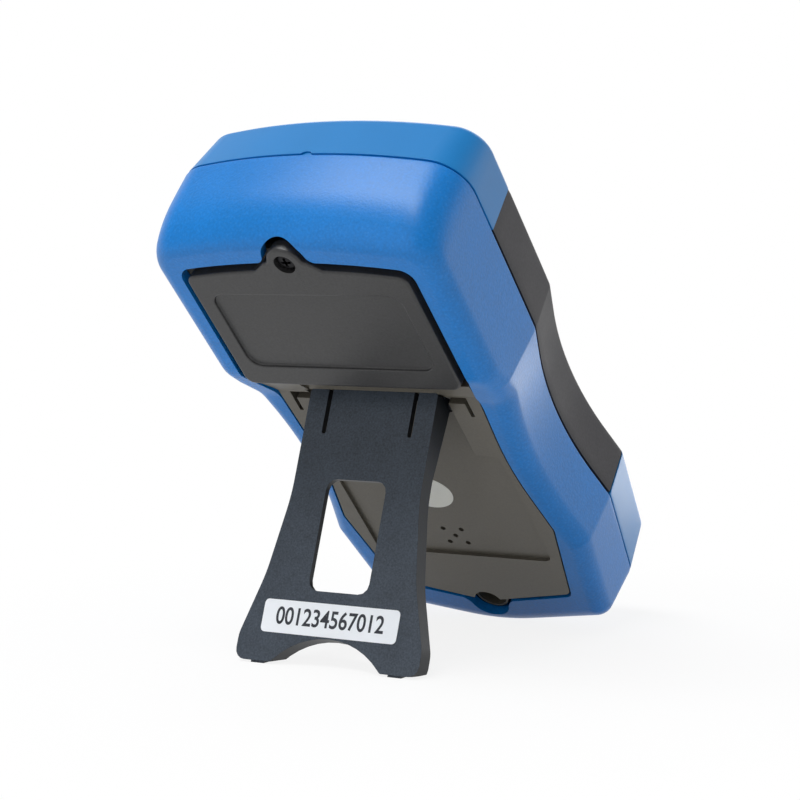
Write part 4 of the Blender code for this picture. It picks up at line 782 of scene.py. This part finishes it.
def front_shell():
    """Front half: rows over edge, wall, front edge, rim and inner wall, with the sides sunk for the grips."""
    full, sunk = front_rows(), front_rows(GRIP_T + FIT)
    around = full.shape[1]
    right = half_outline(CASE)
    final, first = (int(np.argmin(np.abs(right[:, 1] - y))) for y in GRIP_Y)
    inner = [at(outline(CASE, (FRONT_RIM + inset,) * 3), FRONT_DEPTH + rise) for inset, rise in FRONT_LIP]
    inner.append(at(outline(CASE, (WALL,) * 3), PARTING_GAP))
    outer = np.concatenate((full, inner))
    index = numbered(outer)
    kept = np.ones(index.shape, bool)
    surfaces = []
    for a, b in ((first, final), (around - final, around - first)):
        kept[:len(full) - 1, a:b] = False
        kept[-1, a:b] = False
        floor, brim, foot = sunk[:, a:b + 1], full[:, a:b + 1], outer[-1, a:b + 1]
        surfaces.append(patch(floor))
        surfaces += [patch(np.stack((brim[-1], floor[-1]))), patch(np.stack((foot, floor[0])))]
        surfaces += [patch(np.stack((brim[:, k], floor[:, k]))) for k in (0, -1)]
        corner = np.stack((foot, brim[0], floor[0]))
        surfaces += [(corner[:, k], [[0, 1, 2]]) for k in (0, -1)]
    faces = bands(index, np.roll(index, -1, 0))[kept].tolist()
    shell = body_of("front_shell_skin", [(outer.reshape(-1, 3), faces), *surfaces])

    width, height, depth = PRY_NOTCH
    oval = circle(1.0, count=32) * (width / 2, height) + (0.0, PARTING_GAP)
    top = right[0, 1]
    rows = [np.insert(oval, 1, y, axis=1) for y in (top - depth, top + TOOL_REACH)]
    carved(shell, [body_of("tool_notch", [skin(rows)])])
    finished(shell, "case", blue_front, ["front_shell"])

    at_top, at_low = GRIP_SHORT
    side_grip("right", first + at_top, final - at_low)
    side_grip("left", around - final + at_low, around - first - at_top)


def side_grip(name, a, b):
    """Soft strip between the case's own skin and the floor of its recess, its border sunk by a share."""
    outer, inner = (front_rows(depth)[2:-1, a:b + 1] for depth in (GRIP_SINK, GRIP_T))
    drop = np.full(outer.shape[:2], GRIP_SOFTNESS)
    drop[1:-1, 1:-1] = 0.0
    outer = outer + drop[..., None] * (inner - outer)
    surfaces = [patch(outer), patch(inner)]
    surfaces += [patch(np.stack((outer[k], inner[k]))) for k in (0, -1)]
    surfaces += [patch(np.stack((outer[:, k], inner[:, k]))) for k in (0, -1)]
    strip = body_of(f"side_grip_{name}_rubber", surfaces)
    finished(strip, "case", grip_black, [f"side_grip_{name}"], crease=50.0)


def rounded_rise(radius, foot, top, steps=5):
    """(inset, z) profile of a wall from foot to top with a quarter-round top edge."""
    angles = np.linspace(0.0, math.pi / 2, steps + 1)
    sign = math.copysign(1.0, top - foot)
    edge = [(radius * (1 - math.cos(a)), top - sign * radius * (1 - math.sin(a))) for a in angles]
    return [(0.0, foot), *edge]


def door_outline(inset):
    """Door's outline: the boss's circle flared into the top edge, the rest of the edge, and its mirror."""
    boss_y, boss_r = DOOR_BOSS
    boss = bay_outline(boss_y, boss_r - inset, DOOR_FLARE + inset, DOOR[0][1] + FIT - inset, 0.0)
    boss = boss[1:len(boss) // 2 + 1][::-1]
    return mirrored(np.vstack((boss, half_outline(DOOR, (inset,) * 3)[DOOR_TOP_START:])))


def recess_outline(spokes, grow):
    """Rounded rectangle met by spokes, each stretched to the rectangle, then drawn into a corner arc."""
    width, height, centre, radius = DOOR_RECESS
    half = np.array((width, height)) / 2 + grow
    radius += grow
    edge = spokes / np.max(np.abs(spokes), axis=1)[:, None] * half
    core = half - radius
    over = np.maximum(np.abs(edge) - core, 0.0)
    length = np.maximum(np.linalg.norm(over, axis=1), TINY)[:, None]
    drawn = np.where(np.min(over, axis=1)[:, None] > 0, core + radius * over / length, np.abs(edge))
    return np.sign(edge) * drawn + (0.0, centre)


def battery_door():
    """Door: its outline carried up a rounded edge, over the face, and down a rounded lip into the recess."""
    profile = [*rounded_rise(DOOR_EDGE_R, DOOR_FOOT_Z, DOOR_Z), (DOOR_EDGE_R + DOOR_EDGE_FLAT, DOOR_Z)]
    rows = [at(door_outline(inset), z) for inset, z in profile]
    middle = (DOOR[0][1] + DOOR_LOW_Y) / 2
    spokes = (rows[-1][:, :2] - (0.0, middle)) / (DOOR[1][0], DOOR[0][1] - middle)
    rows += [at(recess_outline(spokes, grow), DOOR_Z + fall) for grow, fall in DOOR_LIP]
    door = body_of("battery_door_cover", [skin(rows)])
    hole = prism(circle(DOOR_HOLE_R, (0.0, DOOR_BOSS[0])), DOOR_Z - TOOL_REACH, DOOR_FOOT_Z + TOOL_REACH)
    carved(door, [body_of("tool_hole", [hole])])
    finished(door, "case", door_black, ["battery_door"], edge=0.3, crease=50.0)


def screw(name, node, y, seat, tip):
    """Pan-head screw driven from the back, in polar rows.

    The head's crown falls with the square of the radius, and a cross of four arms is sunk in it.
    """
    top = seat - FIT - SCREW_HEAD_T
    crown_share, crown_fall = SCREW_CROWN
    rows = []
    for r in np.linspace(0.0, crown_share * SCREW_HEAD_R, SCREW_ROWS):
        loop = circle(r, count=SCREW_POINTS)
        arm, reach = np.sort(np.abs(loop), axis=1).T
        across = np.clip((CROSS_ARM[0] - arm) / CROSS_ARM[1], 0.0, 1.0)
        along = np.clip((CROSS_REACH[0] * SCREW_HEAD_R - reach) / CROSS_REACH[1], 0.0, 1.0)
        crown = crown_fall * (r / SCREW_HEAD_R) ** 2
        rows.append(at(loop + (0.0, y), top + crown + CROSS_DEPTH * across * along))
    profile = [(share * SCREW_HEAD_R, top + fall) for share, fall in SCREW_EDGE]
    profile += [(SHANK_R, seat - FIT), (SHANK_R, tip - SHANK_R), (SHANK_TIP * SHANK_R, tip), (0.0, tip)]
    rows += [at(circle(r, (0.0, y), SCREW_POINTS), z) for r, z in profile]
    finished(body_of(name, [skin(rows)]), "case", shaded_screw_steel, [node], crease=50.0)


def flat_piece(name, loops, low, high, body, slot, material, axes=METER):
    """Thin pieces: each loop carried from one level to the other."""
    finished(body_of(name, [prism(loop, low, high) for loop in loops], axes), body, material)


def digits(name, text, size, place, axes, level, body, material, flip=1.0, bold=0.0, squeeze=1.0):
    """Printed digits: text made a mesh, laid on a level of the axes with its middle at place.

    A flip of -1 makes it read from behind.
    """
    curve = bpy.data.curves.new(name, "FONT")
    curve.body = text
    curve.size = size
    curve.align_x = "CENTER"
    curve.align_y = "CENTER"
    curve.extrude = PRINT_T
    curve.offset = bold
    source = shown(name, curve)
    graph = bpy.context.evaluated_depsgraph_get()
    mesh = bpy.data.meshes.new_from_object(source.evaluated_get(graph))
    bpy.data.objects.remove(source)
    points = np.empty(len(mesh.vertices) * 3)
    mesh.vertices.foreach_get("co", points)
    points = points.reshape(-1, 3) * (flip * squeeze, 1.0, flip) + (*place, level)
    mesh.vertices.foreach_set("co", placed(points, axes).ravel())
    weld(mesh)
    finished(shown(name, mesh), body, material, crease=30.0)


def stand_pieces():
    """Tilt stand with soft edges and a thin sheet round its window, and the printed label on its face."""
    stand = softened("tilt_stand", "kickstand")
    relief = rounded_box(*WINDOW_RELIEF, (0.0, WINDOW_Y))
    cut = prism(relief, WINDOW_SHEET - HINGE_TO_FACE, HINGE_TO_FACE)
    carved(stand, [body_of("tool_relief", [cut], STAND)])
    finished(stand, "kickstand", stand_black, ["kickstand"], edge=0.3)
    film = rounded_box(*LABEL, LABEL_PLACE)
    back = -HINGE_TO_FACE - LABEL_T
    flat_piece("stand_label", [film], back, -HINGE_TO_FACE, "kickstand", "stand_black", label_paper, STAND)
    digits("stand_label_digits", LABEL_TEXT, LABEL_TEXT_SIZE, LABEL_PLACE, STAND, back - PRINT_LIFT,
           "kickstand", print_dark, flip=-1.0, bold=0.10, squeeze=0.86)


def panel_pieces():
    """Rear panel with soft edges and a deep well for its low screw, and the oval sticker in its nest."""
    panel = softened("rear_panel_moulding", "rear_panel")
    well_r, well_floor = LOW_WELL
    well = prism(circle(well_r, (0.0, LOW_SCREW_Y)), 2 * FLOOR_Z, well_floor)
    carved(panel, [body_of("tool_low_well", [well])])
    finished(panel, "case", panel_black, ["rear_panel"], edge=0.2)
    oval = circle(1.0, count=64) * STICKER + STICKER_PLACE
    flat_piece("nest_sticker", [oval], NEST_Z - STICKER_T, NEST_Z, "case", "panel_black", sticker_paper)


def knob():
    """Selector: a ribbed skirt turned about its axis, with a rounded pointer bar and a printed line."""
    base = FACE_Z + PARTING_GAP
    spokes = circle(1.0, count=KNOB_POINTS)
    count, depth, start = KNOB_RIBS
    ribs = depth * (0.5 + 0.5 * np.cos(count * np.arange(KNOB_POINTS) * 2 * np.pi / KNOB_POINTS))
    rows = []
    for radius, z in [*KNOB_STEM, *((radius, base + rise) for radius, rise in KNOB_SKIRT)]:
        ribbed = radius - ribs * (radius > start)
        rows.append(at(ribbed[:, None] * spokes + (0.0, KNOB_Y), z))
    obj = body_of("selector_knob_skirt", [skin(rows)])
    width, length, corner = KNOB_BAR
    bar = []
    for inset, rise in KNOB_BAR_EDGE:
        size = (width - 2 * inset, length - 2 * inset, corner - inset)
        bar.append(at(rounded_box(*size, (0.0, KNOB_Y), KNOB_BAR_STEPS), base + rise))
    carved(obj, [body_of("tool_bar", [skin(bar)])], "UNION")
    finished(obj, "selector", knob_black, ["selector_knob"], edge=0.2, crease=45.0)
    top = base + KNOB_BAR_EDGE[-1][1]
    line = rounded_box(*POINTER, (0.0, POINTER_Y), 4)
    flat_piece("knob_pointer_line", [line], top - PRINT_LIFT, top + POINTER_T, "selector", "white_plastic",
               print_white)


def buttons():
    """Keys: rounded rectangles carried from the stem over a lip to a crowned top."""
    width, height, corner = KEY
    profile = [*KEY_STEM, *((grow, FACE_Z + KEY_RISE + rise) for grow, rise in KEY_CAP)]
    for number, x in enumerate(KEY_XS, 1):
        rows = []
        for grow, z in profile:
            rows.append(at(rounded_box(width + 2 * grow, height + 2 * grow, corner + grow, (x, KEY_Y)), z))
        key = body_of(f"button_{number}_cap", [skin(rows)])
        finished(key, f"button_{number}", key_rubber, [f"button_{number}"], crease=50.0)


def housing():
    """Front housing with soft edges."""
    front = softened("front_housing", "front_case")
    finished(front, "case", face_grey, ["front_case"], edge=0.2)


def segments(x, y, height, lit):
    """Seven-segment digit as six-sided bars: three across and four upright, those in lit only."""
    width, bar = DIGIT_WIDTH * height, DIGIT_BAR * height
    flat = BAR_SHAPE * (DIGIT_SPAN * width, bar)
    tall = (BAR_SHAPE * (UPRIGHT_SPAN * height * DIGIT_SPAN, bar))[:, ::-1]
    places = {"a": (flat, 0.0, 0.5), "g": (flat, 0.0, 0.0), "d": (flat, 0.0, -0.5), "f": (tall, -0.5, 0.25),
              "b": (tall, 0.5, 0.25), "e": (tall, -0.5, -0.25), "c": (tall, 0.5, -0.25)}
    return [places[s][0] + (x + places[s][1] * width, y + places[s][2] * height) for s in lit]


def display():
    """LCD digits, all zeros, with a decimal dot."""
    bars = [bar for x in LCD_DIGIT_XS for bar in segments(x, LCD_Y, LCD_DIGIT_H, "abcdef")]
    dot_r, dot_x = LCD_DOT
    bars.append(circle(dot_r, (dot_x, LCD_Y - LCD_DIGIT_H / 2), 16))
    flat_piece("lcd_digits", bars, *LCD_PRINT_Z, "case", "lcd_green", lcd_ink)


def dial():
    """Ticks at equal angles round the selector, and numbers beyond every other tick."""
    ticks = []
    for k in range(TICK_COUNT):
        angle = 2 * math.pi * k / TICK_COUNT
        length = TICK_LENGTHS[k % 2]
        turn = np.array(((math.cos(angle), math.sin(angle)), (-math.sin(angle), math.cos(angle))))
        ticks.append(rounded_box(length, *TICK_SHAPE, (TICK_R + length / 2, 0.0), 3) @ turn + (0.0, KNOB_Y))
    flat_piece("dial_ticks", ticks, *DIAL_PRINT_Z, "case", "face_grey", print_white)
    across, along = NUMBER_REACH
    for k, text in enumerate(DIAL_NUMBERS, 1):
        angle = 2 * math.pi * k / len(DIAL_NUMBERS) + math.pi / 2
        place = (across * math.cos(angle), KNOB_Y + along * math.sin(angle))
        digits(f"dial_number_{k}", text, NUMBER_SIZE, place, METER, FACE_Z + PRINT_LIFT, "case",
               print_white)


def jack_marks():
    """Dark collar and printed ring of each jack: closed profiles of radius and level, turned on its axis."""
    inner, outer = JACK_RING
    low, high = JACK_PRINT_Z
    mark = ((inner, low), (inner, high), (outer, high), (outer, low))
    for number, x in enumerate(JACK_XS, 1):
        ink = print_white if number == COMMON_JACK else print_red
        for name, profile, slot, material in (
            ("jack_collar", JACK_COLLAR, "black_plastic", knob_black),
            ("jack_ring", mark, "face_grey", ink),
        ):
            rows = [at(circle(radius, (x, JACK_Y), JACK_POINTS), z) for radius, z in profile]
            finished(body_of(f"{name}_{number}", [ring(rows)]), "case", material)


def dress_nodes():
    """Procedural finishes for the CAD nodes that stay as they are."""
    finishes = {
        "display_window": window_clear, "lcd_glass": lcd_green, "lcd_holder": white_plastic,
        "elastomer_strip": elastomer_pink, "backlight_panel": white_plastic, "circuit_board": board_green,
        "selector_rotor": white_plastic, "keypad": key_rubber, "battery": battery_wrap,
        "battery_snap": knob_black, "buzzer": knob_black, "fuse_1": fuse_ceramic, "fuse_2": fuse_ceramic,
    }
    families = {
        "board_screw": spring_steel, "case_screw": spring_steel, "detent": spring_steel,
        "wiper": jack_brass, "jack_": jack_brass, "fuse_clip": jack_brass,
    }
    for start, material in families.items():
        finishes.update({node: material for node in frame["nodes"] if node.startswith(start)})
    for node, material in finishes.items():
        slots = frame["nodes"][node].data.materials
        slots.clear()
        slots.append(material)


def turned_to(across, upwards, away, place):
    """World matrix with these axes and this place."""
    matrix = np.eye(4)
    matrix[:3] = np.column_stack((across, upwards, away, place))
    return Matrix(matrix.tolist())


def camera():
    """Camera with rows of axes right, down and forward in the back's axes, moved into the meter's axes."""
    turn = np.array(CAMERA_TURN)
    angle = float(np.linalg.norm(turn))
    spin = np.array(Matrix.Rotation(angle, 3, (turn / angle).tolist()))
    rows = spin @ np.diag((1.0, -1.0, -1.0))
    eye = (-rows.T @ np.array(CAMERA_SHIFT)) @ BACK_AXES + (0.0, 0.0, DOOR_Z)
    right, down, forward = (rows @ BACK_AXES) @ METER[0]
    data = bpy.data.cameras.new("photo_camera")
    data.sensor_width = SENSOR_MM
    data.lens = FOCAL_PX * SENSOR_MM / FRAME_PX
    data.clip_start = 0.01
    obj = shown("photo_camera", data)
    obj.matrix_world = turned_to(right, -down, -forward, placed(eye, METER))
    bpy.context.scene.camera = obj


def lamp(name, place, width, height, power, aim):
    """Soft lamp, wide and high in metres, that looks at a point."""
    data = bpy.data.lights.new(name, "AREA")
    data.shape = "RECTANGLE"
    data.size, data.size_y = width, height
    data.energy = power
    away = np.array(place) - np.array(aim)
    away /= np.linalg.norm(away)
    across = np.cross((0.0, 0.0, 1.0), away)
    across /= np.linalg.norm(across)
    shown(name, data).matrix_world = turned_to(across, np.cross(away, across), away, place)


def seen_rays(tree):
    """1 for rays that see the surround itself: from the camera, from gloss and through glass."""
    rays = joined(tree, "ShaderNodeLightPath").outputs
    result = rays["Is Camera Ray"]
    for name in ("Is Glossy Ray", "Is Transmission Ray"):
        result = computed(tree, "MAXIMUM", result, rays[name])
    return result


def floor_white():
    """Matt white under a white glow for seen rays, weaker near the object, where the shadow falls."""
    material = bpy.data.materials.new("floor_white")
    material.use_nodes = True
    tree = material.node_tree
    tree.nodes.clear()
    colour = ranged(tree, seen_rays(tree), end=(FLOOR_BOUNCE, FLOOR_SHADE))
    matt = joined(tree, "ShaderNodeBsdfDiffuse", {"Color": colour}).outputs[0]
    glow = joined(tree, "ShaderNodeEmission").outputs[0]
    place = joined(tree, "ShaderNodeTexCoord").outputs["Object"]
    away = joined(tree, "ShaderNodeVectorMath", {0: place}, operation="LENGTH").outputs["Value"]
    fade = ranged(tree, away, FLOOR_FADE, (FLOOR_GLOW, 1.0), "SMOOTHSTEP")
    share = computed(tree, "MULTIPLY", seen_rays(tree), fade)
    blend = joined(tree, "ShaderNodeMixShader", {0: share, 1: matt, 2: glow}).outputs[0]
    joined(tree, "ShaderNodeOutputMaterial", {"Surface": blend})
    return material


def studio():
    """White floor that keeps the shadow, a white surround whose gloss dims to one side, and soft lamps."""
    mesh = bpy.data.meshes.new("floor")
    corners = FLOOR_REACH * np.array(((-1, -1, 0), (1, -1, 0), (1, 1, 0), (-1, 1, 0)))
    mesh.from_pydata(corners.tolist(), [], [(0, 1, 2, 3)])
    mesh.materials.append(floor_white())
    floor = shown("floor", mesh)

    world = bpy.data.worlds.new("studio")
    bpy.context.scene.world = world
    world.use_nodes = True
    tree = world.node_tree
    tree.nodes.clear()
    aim = joined(tree, "ShaderNodeTexCoord").outputs["Generated"]
    towards = joined(tree, "ShaderNodeVectorMath", {0: aim, 1: ROOM_AIM}, operation="DOT_PRODUCT")
    room = ranged(tree, towards.outputs["Value"], ROOM_FALL, (1.0, ROOM_LEVEL), "SMOOTHSTEP")
    camera_ray = joined(tree, "ShaderNodeLightPath").outputs["Is Camera Ray"]
    level = ranged(tree, seen_rays(tree), end=(SKY_LEVEL, computed(tree, "MAXIMUM", camera_ray, room)))
    white = (1.0, 1.0, 1.0, 1.0)
    sky = joined(tree, "ShaderNodeBackground", {"Color": white, "Strength": level}).outputs[0]
    joined(tree, "ShaderNodeOutputWorld", {"Surface": sky})

    for name, settings in LAMPS.items():
        lamp(name, *settings)


camera()
studio()
rear_shell()
front_shell()
battery_door()
panel_pieces()
stand_pieces()
screw("battery_door_screw_head", "battery_door_screw", DOOR_BOSS[0], *DOOR_SCREW_Z)
screw("case_screw_low_head", "case_screw_low", LOW_SCREW_Y, *LOW_SCREW_Z)
knob()
buttons()
housing()
display()
dial()
jack_marks()
dress_nodes()

bpy.context.scene.view_settings.view_transform = "Standard"
